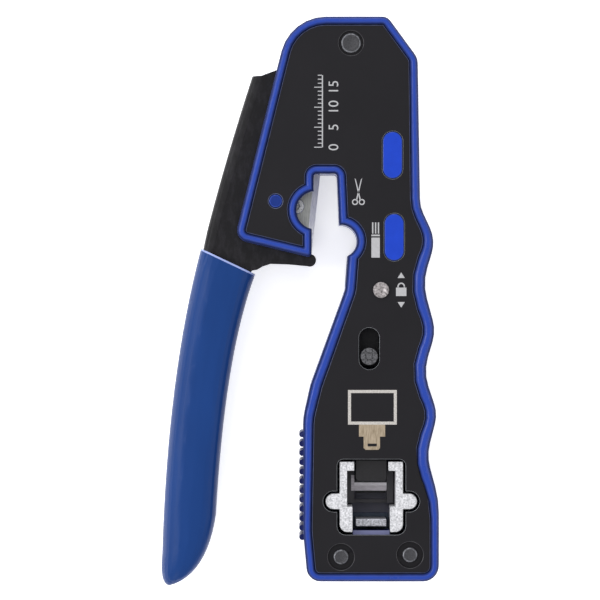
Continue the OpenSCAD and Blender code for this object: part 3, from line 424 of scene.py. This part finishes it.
def finishes():
    """How each finish of the tool is made, by name."""
    colours = bpy.context.scene.crimper_colours
    return {
        "blue": lambda: moulded_abs("Blue_ABS", colours.housing),
        "pad": lambda: polished_abs("Polished_blue_ABS", colours.pad),
        "stud": lambda: polished_abs("Gate_stud_ABS", shade(colours.housing, 0.6)),
        # The thumb ribs, painted darker than the shell as painted shade.
        "rib": lambda: polished_abs("Coarse_rib_ABS", linear("#0c174c")),
        # The port's walls, painted in shade: a deep blue round the silver jaws.
        "shaded_well": lambda: polished_abs("Shaded_well_ABS", shade(colours.housing, 0.2)),
        # What is seen deep in the port is painted a lighter grey, as painted light against the
        # port's deep shade.
        "lightened_floor": lambda: polished_abs("Lightened_floor_ABS", linear("#505b6c")),
        "lightened_coat": lambda: satin_coat("Lightened_inner_coat", linear("#737380")),
        # The strip under the plug's latch: a greyish lilac that is a painted highlight.
        "highlit_latch_strip": lambda: polished_abs("Highlit_latch_ABS", linear("#6c6f90")),
        "plate": lambda: satin_coat("Satin_black_coat", colours.plate),
        # The line round the port and the slots: grey where hands have taken the coat off by
        # rubbing, and paler still as a painted highlight.
        "edge": lambda: worn_edge("Rubbed_and_highlit_coat_edge", linear("#35363a"), linear("#a4a7ad")),
        # Beside the blue rim the edge mirrors the rim: its bare grey leans to blue, a painted
        # reflection.
        "blue_edge": lambda: worn_edge("Rim_reflection_coat_edge", linear("#1d2440"), linear("#59628c")),
        # Round a sunk head the coat is still whole: only a faint ring shows, as a painted
        # highlight.
        "dish": lambda: worn_edge("Highlit_dish_coat", linear("#161519"), linear("#37363b")),
        "lever": lambda: pressed_black_steel("Pressed_black_steel", colours.lever),
        "grip": lambda: dipped_vinyl("Dipped_vinyl", colours.grip),
        # The grip's end, paler than the rest: a painted highlight along the lip.
        "lip": lambda: dipped_vinyl("Highlit_vinyl_lip", linear("#8c98c6")),
        "nylon": lambda: filled_nylon("Filled_nylon", colours.nylon),
        "ink": lambda: printed_ink("Printed_ink", colours.ink),
        # Bead-blasted zinc casting, nickel plated: pale, soft and mottled by the blasting.
        "nickel": lambda: grained(
            "Blasted_nickel", "#98999d", "#dcdce0", (0.6, 0.4), 0.45, 0.08, metallic=0.3),
        # Zinc casting left dull: the knob of the lock, its grain open and grey.
        "casting": lambda: grained(
            "Dull_zinc_casting", "#29292c", "#68686c", (0.6, 0.45), 0.35, 0.06, metallic=0.4),
        # Tumbled steel: the latch bar, pale with dark pits.
        "tumbled": lambda: grained(
            "Tumbled_steel", "#707178", "#cfd0d8", (0.5, 0.35), 0.5, 0.05, metallic=0.4),
        # The lip's nylon, painted a light grey against the port's deep shade, in streaks across the
        # lip.
        "rubbed_and_lit": lambda: grained(
            "Lightened_lip_nylon", "#bdb8bf", "#dad4dc", (0.5, 0.6), 0.5, 0.03, ACROSS, metallic=0.0),
        # The lip's own edge: a painted glint.
        "glint": lambda: grained(
            "Glint_lip_nylon", "#e0dbe3", "#f6f2f8", (0.3, 0.4), 0.5, 0.02, ACROSS,
            metallic=0.0),
        # Turned steel, bright zinc plated: its tool marks, too fine to see, are drawn at 0.3 mm.
        "steel": lambda: grained(
            "Zinc_plated_steel", "#8d8f93", "#d8d9dc", (0.22, 0.4), 0.3, 0.02),
        # The hollow rivet in the plate: the same zinc, dulled and warm where fingers pass over it.
        "rivet": lambda: grained(
            "Dulled_zinc_rivet", "#595556", "#b5afb0", (0.4, 0.55), 0.6, 0.05, metallic=0.6),
        # Oxide black over forged steel: nearly as dark as the plates, with a little more gloss.
        "black_steel": lambda: grained(
            "Blackened_steel", "#0c0b0e", "#161519", (0.45, 0.6), 0.4, 0.03, metallic=0.1,
            specular=0.34),
        # The same oxide on the heads that hands and screwdrivers rub: greyer, with a painted
        # highlight on their edges.
        "head": lambda: grained(
            "Rubbed_black_head", "#232327", "#3d3d41", (0.45, 0.6), 0.35, 0.03, metallic=0.3),
        "highlit_head_edge": lambda: grained(
            "Highlit_head_edge", "#37383c", "#77787e", (0.3, 0.4), 0.5, 0.03, metallic=0.3),
        # Ground tool steel: fine straight lines left by the wheel.
        "ground": lambda: grained(
            "Ground_tool_steel", "#a2a49d", "#cfd0ca", (0.3, 0.45), 0.12, 0.02, ALONG,
            metallic=0.3),
        # The honed bevel of the blade: almost white, a painted highlight.
        "honed": lambda: grained(
            "Highlit_honed_bevel", "#dcdce8", "#ffffff", (0.25, 0.35), 0.12, 0.01, ALONG,
            metallic=0.1),
        # Brushed steel sheet that shows where the coat is etched away: warm, lined upwards.
        "brushed": lambda: grained(
            "Etched_brushed_steel", "#82745f", "#a99a86", (0.35, 0.5), 0.16, 0.02, (1, 0.08, 1),
            metallic=0.4),
        # The same steel in the sign's thin outline, which looks paler for want of lines.
        "bare_line": lambda: grained(
            "Etched_bright_line", "#9a9692", "#bfbbb7", (0.4, 0.5), 0.3, 0.02, metallic=0.2),
        # Cold-drawn spring wire: smooth and bright.
        "wire": lambda: grained(
            "Drawn_spring_wire", "#77797d", "#c9cbcf", (0.2, 0.35), 0.2, 0.01),
    }


MADE = {}


def finish(name):
    """The named finish, made when it is first asked for."""
    if name not in MADE:
        MADE[name] = finishes()[name]()
    return MADE[name]


# The finishes of a piece that has several, in the order of its material slots.
SHELL_FINISHES = ["blue", "pad", "stud", "highlit_latch_strip", "rib", "shaded_well", "lightened_floor"]
PLATE_FINISHES = ["plate", "blue_edge", "edge", "dish"]
STOP_FINISHES = ["nylon", "rubbed_and_lit", "glint"]


# ---------------------------------------------------------------- mesh helpers

def place(bm, name, body, finish_names, replaced=()):
    """Turns a bmesh into a finished piece that rides on a body, or on none."""
    mesh = bpy.data.meshes.new(name)
    bm.to_mesh(mesh)
    bm.free()
    for name_of in finish_names:
        mesh.materials.append(finish(name_of))
    mesh.polygons.foreach_set("use_smooth", [True] * len(mesh.polygons))
    mesh.set_sharp_from_angle(angle=math.radians(SMOOTH_BELOW))
    piece = bpy.data.objects.new(name, mesh)
    bpy.context.scene.collection.objects.link(piece)
    if body:
        flats = piece.modifiers.new("Even flats", "WEIGHTED_NORMAL")
        flats.keep_sharp, flats.weight = True, 100
        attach(piece, body)
    if replaced:
        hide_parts(*replaced)
    return piece


def merged_copy(node):
    """The CAD node's surface as one mesh, its flat faces whole again."""
    bm = bmesh.new()
    bm.from_mesh(NODES[node].data)
    bmesh.ops.remove_doubles(bm, verts=bm.verts, dist=MERGE)
    bmesh.ops.dissolve_limit(bm, angle_limit=math.radians(ONE_FACE), verts=bm.verts, edges=bm.edges,
                             use_dissolve_boundaries=False)
    return bm


def sharp_edges(bm, wanted=None, degrees=50):
    """Outward edges that turn by more than some degrees, where a test of both ends allows."""
    return [e for e in bm.edges
            if len(e.link_faces) == 2 and e.calc_face_angle_signed(0) > math.radians(degrees)
            and (wanted is None or all(wanted(v.co) for v in e.verts))]


def break_edges(bm, edges, width, segments=2, material=-1):
    """Rounds or chamfers edges; the new faces take a material slot, or their neighbour's."""
    if edges:
        bmesh.ops.bevel(bm, geom=edges, offset=width, offset_type="OFFSET", segments=segments,
                        profile=0.5, affect="EDGES", clamp_overlap=True, material=material)


def dress(node, finish_name, width=None, segments=2, edge_finish=None):
    """A CAD node's copy with broken edges and a finish, in the node's place."""
    bm = merged_copy(node)
    if width:
        break_edges(bm, sharp_edges(bm), width, segments, material=1 if edge_finish else -1)
    finish_names = [finish_name, edge_finish] if edge_finish else [finish_name]
    place(bm, node + "_dressed", BODY_OF[node], finish_names, [node])


def slab(bm, points, base, height):
    """A flat prism over an outline."""
    face = bm.faces.new([bm.verts.new((x * MM, y * MM, base)) for x, y in points])
    grown = bmesh.ops.extrude_face_region(bm, geom=[face])
    bmesh.ops.translate(bm, vec=(0, 0, height),
                        verts=[v for v in grown["geom"] if isinstance(v, bmesh.types.BMVert)])


def cut_across(bm, point, normal):
    """Cuts every face that a plane crosses, so that a finish can end there."""
    bmesh.ops.bisect_plane(bm, geom=[*bm.verts, *bm.edges, *bm.faces], dist=MERGE,
                           plane_co=point, plane_no=normal)


def box_points(x0, y0, x1, y1):
    """A rectangle's corners, anticlockwise."""
    return [(x0, y0), (x1, y0), (x1, y1), (x0, y1)]


def mark_flanks(mesh, outside):
    """Stores how steep the shell is at every corner, for the blue's painted shade: 0 on crowns, 1
    on flanks and inside.
    """
    flank = mesh.attributes.new("flank", "FLOAT", "CORNER")
    steepness = [(CROWN_LEVEL - outside * corner.vector.z) / (CROWN_LEVEL - FLANK_LEVEL)
                 for corner in mesh.corner_normals]
    flank.data.foreach_set("value", [min(1, max(0, share)) for share in steepness])


def close_up(bm):
    """Merges what touches and turns every face outwards."""
    bmesh.ops.remove_doubles(bm, verts=bm.verts, dist=MERGE)
    bmesh.ops.recalc_face_normals(bm, faces=bm.faces)


# ---------------------------------------------------------------- pieces

class CRIMPER_OT_housing(bpy.types.Operator):
    """Both halves of the blue housing, with a fine groove where they meet"""
    bl_idname = "crimper.housing"
    bl_label = "Housing"

    def execute(self, context):
        gap = context.scene.crimper_sizes.parting_gap
        for node, outside in (("front_shell", 1), ("rear_shell", -1)):
            bm = merged_copy(node)
            seam = sharp_edges(bm, lambda co: abs(co.z - PARTING) < MERGE, SQUARE)
            break_edges(bm, seam, gap, 1)
            pads = sharp_edges(bm, lambda co: abs(co.z - PLATE_TOP - PAD_STAND) < MERGE, SQUARE)
            break_edges(bm, pads, PAD_BEVEL, 3)
            for face in bm.faces:
                face.material_index = SHELL_FINISHES.index(self.skin(face))
            piece = place(bm, node + "_moulded", "housing", SHELL_FINISHES, [node])
            mark_flanks(piece.data, outside)
        return {"FINISHED"}

    def skin(self, face):
        """Which of the shell's finishes a face has."""
        middle = face.calc_center_median()
        level = face.normal.z > FLAT
        if level and abs(middle.z - PLATE_TOP - PAD_STAND) < MERGE:
            return "pad" if face.calc_area() > PAD_AREA else "stud"
        x0, y0, x1, y1 = PORT_WELL
        in_well = x0 < middle.x / MM < x1 and y0 < middle.y / MM < y1 and middle.z > PARTING
        # The port's inner walls take a painted shade.
        if in_well and not level:
            return "shaded_well"
        # The thumb ribs take a painted shade.
        if middle.x / MM < RIB_ROOT and RIB_SPAN[0] < middle.y / MM < RIB_SPAN[1]:
            return "rib"
        # The floor deep in the port is painted lighter, as painted light.
        if level and abs(middle.z - WELL_FLOOR) < LEVEL_SLACK:
            return "lightened_floor"
        # The strip under the latch takes a painted highlight.
        under_latch = abs(middle.x - PORT_X) < SKIRT_HALF
        if level and under_latch and abs(middle.z - SKIRT_TOP) < LEVEL_SLACK:
            return "highlit_latch_strip"
        return "blue"


class CRIMPER_OT_plates(bpy.types.Operator):
    """Cover plates whose chamfers round every opening show rubbing, painted highlights and a
    painted reflection of the rim
    """
    bl_idname = "crimper.plates"
    bl_label = "Cover plates"

    def execute(self, context):
        width = context.scene.crimper_sizes.plate_chamfer
        faces = {"front_plate": PLATE_TOP, "rear_plate": PLATE_LOW}
        for node, level in faces.items():
            bm = merged_copy(node)
            rim = sharp_edges(bm, lambda co: abs(co.z - level) < MERGE, SQUARE)
            kinds = [self.kind(edge) for edge in rim]
            for kind, reach in self.reaches(width):
                some = [e for e, k in zip(rim, kinds) if k == kind and e.is_valid]
                break_edges(bm, some, reach, material=PLATE_FINISHES.index(kind))
            place(bm, node + "_coated", "housing", PLATE_FINISHES, [node])
        self.trim_cover(width)
        return {"FINISHED"}

    def reaches(self, width):
        """How wide each kind of a plate's edges is broken."""
        return ("blue_edge", width), ("edge", width), ("dish", RECESS_WIDER * width)

    def kind(self, edge):
        """The finish of a plate's edge, by what it runs round."""
        point = edge.verts[0].co
        if any((point.xy - head).length < RECESS_REACH for head in head_places()):
            return "dish"
        rubbed_and_lit = any(x0 < point.x / MM < x1 and y0 < point.y / MM < y1
                     for x0, y0, x1, y1 in RUBBED_ZONES)
        # Edges in these zones get the paler edge, a painted highlight; the rest get the blue edge,
        # a painted reflection of the rim.
        return "edge" if rubbed_and_lit else "blue_edge"

    def trim_cover(self, width):
        """The cover over the trimming blade, painted lighter on its inner side as painted light
        against the port's shade.
        """
        bm = merged_copy("trim_cover")
        break_edges(bm, sharp_edges(bm), width)
        for face in bm.faces:
            # Faces that look into the port get the lighter coat, a painted light.
            face.material_index = int(face.normal.z > INWARD)
        place(bm, "trim_cover_dressed", "housing",
              ["plate", "lightened_coat"], ["trim_cover"])


class CRIMPER_OT_fasteners(bpy.types.Operator):
    """Pins, rivets, screws and nuts of the housing"""
    bl_idname = "crimper.fasteners"
    bl_label = "Housing fasteners"

    def execute(self, context):
        width = context.scene.crimper_sizes.metal_bevel
        for node in ("hinge_sleeve", "housing_nuts", "trim_cover_screws"):
            dress(node, "steel", width)
        dress("lock_rivet", "rivet", width)
        for node in ("hinge_pin", "housing_screws"):
            # The heads' broken edges take a painted highlight.
            dress(node, "head", HEAD_BEVEL, 3, "highlit_head_edge")
        self.spring()
        return {"FINISHED"}

    def spring(self):
        """The return spring, its mesh baked where it stands, riding on no body."""
        spring = place(merged_copy("return_spring"), "return_spring_wound", None,
                       ["wire"], ["return_spring"])
        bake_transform(spring)


class CRIMPER_OT_port(bpy.types.Operator):
    """Jaws of the port and the stop block between them"""
    bl_idname = "crimper.port"
    bl_label = "Port"

    def execute(self, context):
        width = context.scene.crimper_sizes.metal_bevel
        for node in ("jaw_left", "jaw_right"):
            dress(node, "nickel", width, 3)
        self.plug_stop()
        dress("latch_bar", "tumbled", width)
        return {"FINISHED"}

    def plug_stop(self):
        """The stop frame, painted a light grey with a painted glint along the lip that meets the
        plug's nose.
        """
        bm = merged_copy("plug_stop")
        lip_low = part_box("plug_stop")[1].z - LIP_DEPTH
        for y in (LIP_ARM_TOP, *LIP_ROWS):
            cut_across(bm, (0, y * MM, 0), (0, 1, 0))
        for x in (*LIP_ENDS, LIP_OPENING):
            cut_across(bm, (x * MM, 0, 0), (1, 0, 0))
        # The lip's top faces take the painted light and the painted glint.
        for face in bm.faces:
            middle = face.calc_center_median()
            painted_light = self.wear(middle.x / MM, middle.y / MM) if middle.z > lip_low else "nylon"
            face.material_index = STOP_FINISHES.index(painted_light)
        place(bm, "plug_stop_dressed", "housing", STOP_FINISHES,
              ["plug_stop"])

    def wear(self, x, y):
        """The finish of the stop's upper side at a place, in mm."""
        top, glint_end, low = LIP_ROWS
        on_arm = x < LIP_OPENING
        upper_end = LIP_ARM_TOP if on_arm else top
        if not (LIP_ENDS[0] < x < LIP_ENDS[1] and low < y < upper_end):
            return "nylon"
        # The glint band is a painted highlight; the rest of the lip is painted light.
        return "glint" if y > glint_end and not on_arm else "rubbed_and_lit"


class CRIMPER_OT_lever(bpy.types.Operator):
    """The pressed lever with its pins, blade and blade carrier"""
    bl_idname = "crimper.lever"
    bl_label = "Lever"

    def execute(self, context):
        sizes = context.scene.crimper_sizes
        bm = merged_copy("lever")
        sleeve_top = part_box("grip_sleeve")[1].y
        web_end = [v for v in bm.verts if v.co.x < WEB_END_X
                   and abs(v.co.y - sleeve_top) < WEB_END_REACH]
        bmesh.ops.translate(bm, verts=web_end, vec=WEB_RUN_IN)
        break_edges(bm, sharp_edges(bm), sizes.lever_bevel, 3)
        place(bm, "lever_pressed", "lever", ["lever"], ["lever"])
        for node, finish_name in (
                ("grip_rivet", "steel"), ("blade_carrier", "nylon"), ("carrier_rivets", "steel"),
                ("blade_screws", "steel"), ("crank_pin", "steel"), ("catch_pin", "steel")):
            dress(node, finish_name, sizes.metal_bevel)
        self.blade()
        return {"FINISHED"}

    def blade(self):
        """The cutting blade: ground faces and a honed bevel with a painted highlight."""
        bm = merged_copy("cutting_blade")
        for face in bm.faces:
            # Faces of the bevel take the honed finish, a painted highlight.
            face.material_index = int(HONED_LEAN[0] < abs(face.normal.z) < HONED_LEAN[1])
        place(bm, "cutting_blade_ground", "lever", ["ground", "honed"],
              ["cutting_blade"])


class CRIMPER_OT_grip(bpy.types.Operator):
    """The dipped grip, its lip with a painted highlight"""
    bl_idname = "crimper.grip"
    bl_label = "Grip"

    def execute(self, context):
        bm = merged_copy("grip_sleeve")
        end = max(bm.faces, key=lambda f: f.normal.y * (f.calc_center_median().y > 0))
        lip_low = end.verts[0].co - end.normal * context.scene.crimper_sizes.grip_lip
        cut_across(bm, lip_low, end.normal)
        # The band above this cut takes the pale lip finish, a painted highlight.
        for face in bm.faces:
            face.material_index = int((face.calc_center_median() - lip_low).dot(end.normal) > 0)
        self.crease(bm)
        place(bm, "grip_sleeve_dipped", "lever", ["grip", "lip"],
              ["grip_sleeve"])
        return {"FINISHED"}

    def crease(self, bm):
        """Raises the soft ridge that runs down both broad sides of the grip."""
        middle = sum(corner.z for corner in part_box("grip_sleeve")) / 2
        outer = [f for f in bm.faces if abs(f.normal.z) > CREASE_LEVEL]
        edges = list({e for f in outer for e in f.edges if e.calc_length() > CREASE_STEP})
        bmesh.ops.subdivide_edges(bm, edges=edges, cuts=3, use_grid_fill=True)
        for vert in bm.verts:
            away = abs(vert.co.z - middle)
            if away < CREASE_FROM:
                continue
            side = vert.co.x - crease_x(vert.co.y)
            width = CREASE_WIDTHS[side > 0]
            rise = CREASE_RISE * max(0, 1 - abs(side) / width)
            vert.co.z += math.copysign(rise, vert.co.z - middle)


class CRIMPER_OT_ram(bpy.types.Operator):
    """Push rod, punch and trimming blade"""
    bl_idname = "crimper.ram"
    bl_label = "Ram"

    def execute(self, context):
        width = context.scene.crimper_sizes.metal_bevel
        dress("push_rod", "steel", width)
        dress("crimp_punch", "black_steel", FINE_BEVEL, 3)
        for node in ("punch_pin", "trim_blade_screws"):
            dress(node, "steel", width)
        dress("trim_blade", "black_steel")
        return {"FINISHED"}


class CRIMPER_OT_lock(bpy.types.Operator):
    """Lock bar and its sliding knob"""
    bl_idname = "crimper.lock"
    bl_label = "Lock"

    def execute(self, context):
        dress("lock_bar", "black_steel", context.scene.crimper_sizes.metal_bevel)
        dress("lock_knob", "casting", FINE_BEVEL)
        return {"FINISHED"}


# The font's size for a figure one unit high.
EM_PER_FIGURE = 1.35


class CRIMPER_OT_marks(bpy.types.Operator):
    """Etched plug outline and printed signs on the front plate"""
    bl_idname = "crimper.marks"
    bl_label = "Marks"

    def execute(self, context):
        self.height = context.scene.crimper_sizes.ink_height
        self.plug_sign()
        self.scale()
        self.cut_sign()
        self.strip_sign()
        self.lock_sign()
        return {"FINISHED"}

    def done(self, bm, name, finish_name):
        """Closes a mark's mesh and puts it on the front plate."""
        close_up(bm)
        place(bm, name, "housing", [finish_name])

    def plug_sign(self):
        """The outline of a modular plug, with its filled latch and the latch's slot."""
        left, right, top, low, line = 12.0, 24.2, -22.5, -31.15, 0.75
        root_left, root_right, root_low = 14.75, 21.3, -34.15
        bm = bmesh.new()
        for points in (box_points(left, top - line, right, top),
                       box_points(left, low, right, low + line),
                       box_points(left, low + line, left + line, top - line),
                       box_points(right - line, low + line, right, top - line)):
            slab(bm, points, PLATE_TOP, self.height)
        self.done(bm, "plug_sign_outline", "bare_line")
        bm = bmesh.new()
        slab(bm, box_points(root_left, root_low, root_right, low), PLATE_TOP, self.height)
        slab(bm, [(20, root_low), (20, -37), (19.6, -37.45), (16.4, -37.45), (15.9, -37),
                  (15.9, root_low)], PLATE_TOP, self.height)
        self.done(bm, "plug_sign_latch", "brushed")
        bm = bmesh.new()
        slab(bm, box_points(16.9, -36.6, 19.2, -35.9), PLATE_TOP + self.height, self.height / 2)
        self.done(bm, "plug_sign_slot", "plate")

    def scale(self):
        """A strip-length scale in millimetres with plain numbers."""
        x, low, length, numbered = 5.6, 38.2, 18, 5
        half_line, half_tick, long_tick, short_tick = 0.15, 0.11, 1.9, 1.0
        number_off, number_height = 2.9, 2.6
        bm = bmesh.new()
        slab(bm, box_points(x - half_line, low, x + half_line, low + length), PLATE_TOP,
             self.height)
        for i in range(length + 1):
            reach = short_tick if i % numbered else long_tick
            slab(bm, box_points(x - half_line - reach, low + i - half_tick,
                                x - half_line, low + i + half_tick), PLATE_TOP, self.height)
        for number in range(0, length, numbered):
            self.numeral(bm, str(number), (x + number_off, low + number), number_height)
        self.done(bm, "strip_scale", "ink")

    def numeral(self, bm, text, centre, height_mm):
        """Numerals that read upwards, added to a mesh."""
        curve = bpy.data.curves.new("numeral", "FONT")
        curve.body, curve.align_x, curve.align_y = text, "CENTER", "CENTER"
        curve.size, curve.extrude = height_mm * MM * EM_PER_FIGURE, self.height / 2
        letters = bpy.data.objects.new("numeral", curve)
        bpy.context.scene.collection.objects.link(letters)
        bpy.context.view_layer.update()
        mesh = bpy.data.meshes.new_from_object(letters)
        x, y = centre
        mesh.transform(Matrix.Translation((x * MM, y * MM, PLATE_TOP + self.height / 2))
                       @ Matrix.Rotation(math.pi / 2, 4, "Z"))
        bm.from_mesh(mesh)
        bpy.data.objects.remove(letters)
        bpy.data.meshes.remove(mesh)

    def arc_band(self, bm, centre, radius, width, sweep, steps=20):
        """A band of ink round a centre, spun from its right-hand end."""
        x, y = centre
        ends = [(radius + side * width / 2, PLATE_TOP + rise)
                for side, rise in ((-1, 0), (1, 0), (1, self.height), (-1, self.height))]
        verts = [bm.verts.new(((x + r) * MM, y * MM, z)) for r, z in ends]
        face = bm.faces.new(verts)
        whole = sweep == 360
        bmesh.ops.spin(bm, geom=[face, *face.edges, *verts], cent=(x * MM, y * MM, 0),
                       axis=(0, 0, 1), angle=math.radians(sweep), steps=steps, use_merge=whole)
        if whole and face.is_valid:
            bmesh.ops.delete(bm, geom=[face], context="FACES_ONLY")

    def cut_sign(self):
        """A pair of open blades on two finger rings."""
        x, y = 14.6, 27
        bm = bmesh.new()
        for side in (-1, 1):
            self.arc_band(bm, (x + side * 0.85, y - 2.5), 0.62, 0.3, 360)
            slab(bm, [(x + side * 0.62, y - 1.95), (x + side * 0.28, y - 1.95),
                      (x - side * 0.95, y + 3.5), (x - side * 0.62, y + 3.1)][::side],
                 PLATE_TOP, self.height)
        self.done(bm, "cut_sign", "ink")

    def strip_sign(self):
        """A cable with its jacket cut back from the wires."""
        x, y = 18.9, 15
        bm = bmesh.new()
        slab(bm, box_points(x - 1.05, y - 4.4, x + 1.05, y + 0.6), PLATE_TOP, self.height)
        slab(bm, box_points(x - 1.05, y + 0.95, x + 1.05, y + 1.35), PLATE_TOP, self.height)
        for i in (-1, 0, 1):
            slab(bm, box_points(x + i * 0.72 - 0.17, y + 1.6, x + i * 0.72 + 0.17, y + 4.4),
                 PLATE_TOP, self.height)
        self.done(bm, "strip_sign", "ink")

    def lock_sign(self):
        """A padlock between two small arrow heads."""
        x, y = 25.3, 2.5
        bm = bmesh.new()
        slab(bm, box_points(x - 1.3, y - 1.5, x + 1.3, y + 0.6), PLATE_TOP, self.height)
        bow, bow_width, bow_foot = 0.78, 0.34, y + 0.9
        self.arc_band(bm, (x, bow_foot), bow, bow_width, 180, 12)
        for side in (-1, 1):
            leg = x + side * bow
            slab(bm, box_points(leg - bow_width / 2, y + 0.55, leg + bow_width / 2, bow_foot),
                 PLATE_TOP, self.height)
            slab(bm, [(x - 0.9, y + side * 3), (x + 0.9, y + side * 3),
                      (x, y + side * 4.4)][::side], PLATE_TOP, self.height)
        self.done(bm, "lock_sign", "ink")


# Each soft panel: name, place in metres, width, watts.
PANELS = (("left_panel", (-0.7, 0.1, 0.5), 0.4, 4.0),
          ("head_panel", (-0.05, 0.75, 0.55), 0.4, 2.6),
          ("right_panel", (0.7, 0, 0.5), 0.5, 1.4),
          ("foot_panel", (-0.2, -0.7, 0.5), 0.4, 1.8),
          ("over_panel", (-0.28, 0.12, 0.95), 0.35, 0.6))
ROOM_LIGHT = 0.75
# The floor is a sheet lit from below, so that the tool's shadow on it stays faint.
FLOOR_GLOW = 0.55
FLOOR_HALF = 3
# The camera's height over the floor and the width of what it shows at the front plate, in metres.
CAMERA_HEIGHT = 0.9
VIEW_WIDTH = 0.150
SENSOR_MM = 36


class CRIMPER_OT_stage(bpy.types.Operator):
    """Pale floor, soft lights and the camera"""
    bl_idname = "crimper.stage"
    bl_label = "Stage"

    def execute(self, context):
        self.floor(context)
        self.lights(context)
        self.camera(context)
        return {"FINISHED"}

    def floor(self, context):
        """A wide sheet of matt, almost white paper; the eye never meets its edge."""
        bm = bmesh.new()
        bmesh.ops.create_grid(bm, x_segments=2, y_segments=2, size=FLOOR_HALF)
        mesh = bpy.data.meshes.new("floor")
        bm.to_mesh(mesh)
        bm.free()
        colour = context.scene.crimper_colours.floor
        material, where, shader = new_material("Floor_paper")
        fibre = add(material, "ShaderNodeTexNoise", {"Vector": where, "Scale": per(30)})
        vary(material, shader, fibre.outputs["Fac"], shade(colour, 0.99), shade(colour, 1),
             (0.85, 0.95))
        shader.inputs["Specular IOR Level"].default_value = 0.1
        shader.inputs["Emission Color"].default_value = (1, 1, 1, 1)
        shader.inputs["Emission Strength"].default_value = FLOOR_GLOW
        mesh.materials.append(material)
        floor = bpy.data.objects.new("floor", mesh)
        context.scene.collection.objects.link(floor)

    def lights(self, context):
        """An even white room and five soft panels round the tool."""
        context.scene.view_settings.view_transform = "Standard"
        world = bpy.data.worlds.new("Room")
        world.use_nodes = True
        room = world.node_tree.nodes["Background"]
        room.inputs["Color"].default_value = (1, 1, 1, 1)
        room.inputs["Strength"].default_value = ROOM_LIGHT
        context.scene.world = world
        for name, place_m, size, watts in PANELS:
            lamp = bpy.data.lights.new(name, "AREA")
            lamp.shape, lamp.size, lamp.energy = "SQUARE", size, watts
            holder = bpy.data.objects.new(name, lamp)
            holder.location = place_m
            holder.rotation_euler = (-Vector(place_m)).to_track_quat("-Z", "Y").to_euler()
            context.scene.collection.objects.link(holder)

    def camera(self, context):
        """The camera straight above the tool."""
        lens = bpy.data.cameras.new("camera")
        lens.sensor_width = SENSOR_MM
        lens.lens = SENSOR_MM * (CAMERA_HEIGHT - PLATE_TOP) / VIEW_WIDTH
        eye = bpy.data.objects.new("camera", lens)
        eye.location = (0, 0, CAMERA_HEIGHT)
        context.scene.collection.objects.link(eye)
        context.scene.camera = eye


class CRIMPER_PT_pieces(bpy.types.Panel):
    """Lists the tool's pieces in the sidebar"""
    bl_label = "Crimping tool"
    bl_space_type = "VIEW_3D"
    bl_region_type = "UI"
    bl_category = "Crimping tool"

    def draw(self, context):
        for group in (context.scene.crimper_colours, context.scene.crimper_sizes):
            for name in group.__annotations__:
                self.layout.prop(group, name)
        for operator in OPERATORS:
            self.layout.operator(operator.bl_idname)


OPERATORS = (CRIMPER_OT_housing, CRIMPER_OT_plates, CRIMPER_OT_fasteners, CRIMPER_OT_port,
             CRIMPER_OT_lever, CRIMPER_OT_grip, CRIMPER_OT_ram, CRIMPER_OT_lock,
             CRIMPER_OT_marks, CRIMPER_OT_stage)
CLASSES = (CrimperColours, CrimperSizes, *OPERATORS, CRIMPER_PT_pieces)


def register():
    for cls in CLASSES:
        bpy.utils.register_class(cls)
    bpy.types.Scene.crimper_colours = PointerProperty(type=CrimperColours)
    bpy.types.Scene.crimper_sizes = PointerProperty(type=CrimperSizes)


def unregister():
    del bpy.types.Scene.crimper_sizes
    del bpy.types.Scene.crimper_colours
    for cls in reversed(CLASSES):
        bpy.utils.unregister_class(cls)


def main():
    register()
    for operator in OPERATORS:
        group, name = operator.bl_idname.split(".")
        getattr(getattr(bpy.ops, group), name)()


if __name__ == "__main__":
    main()
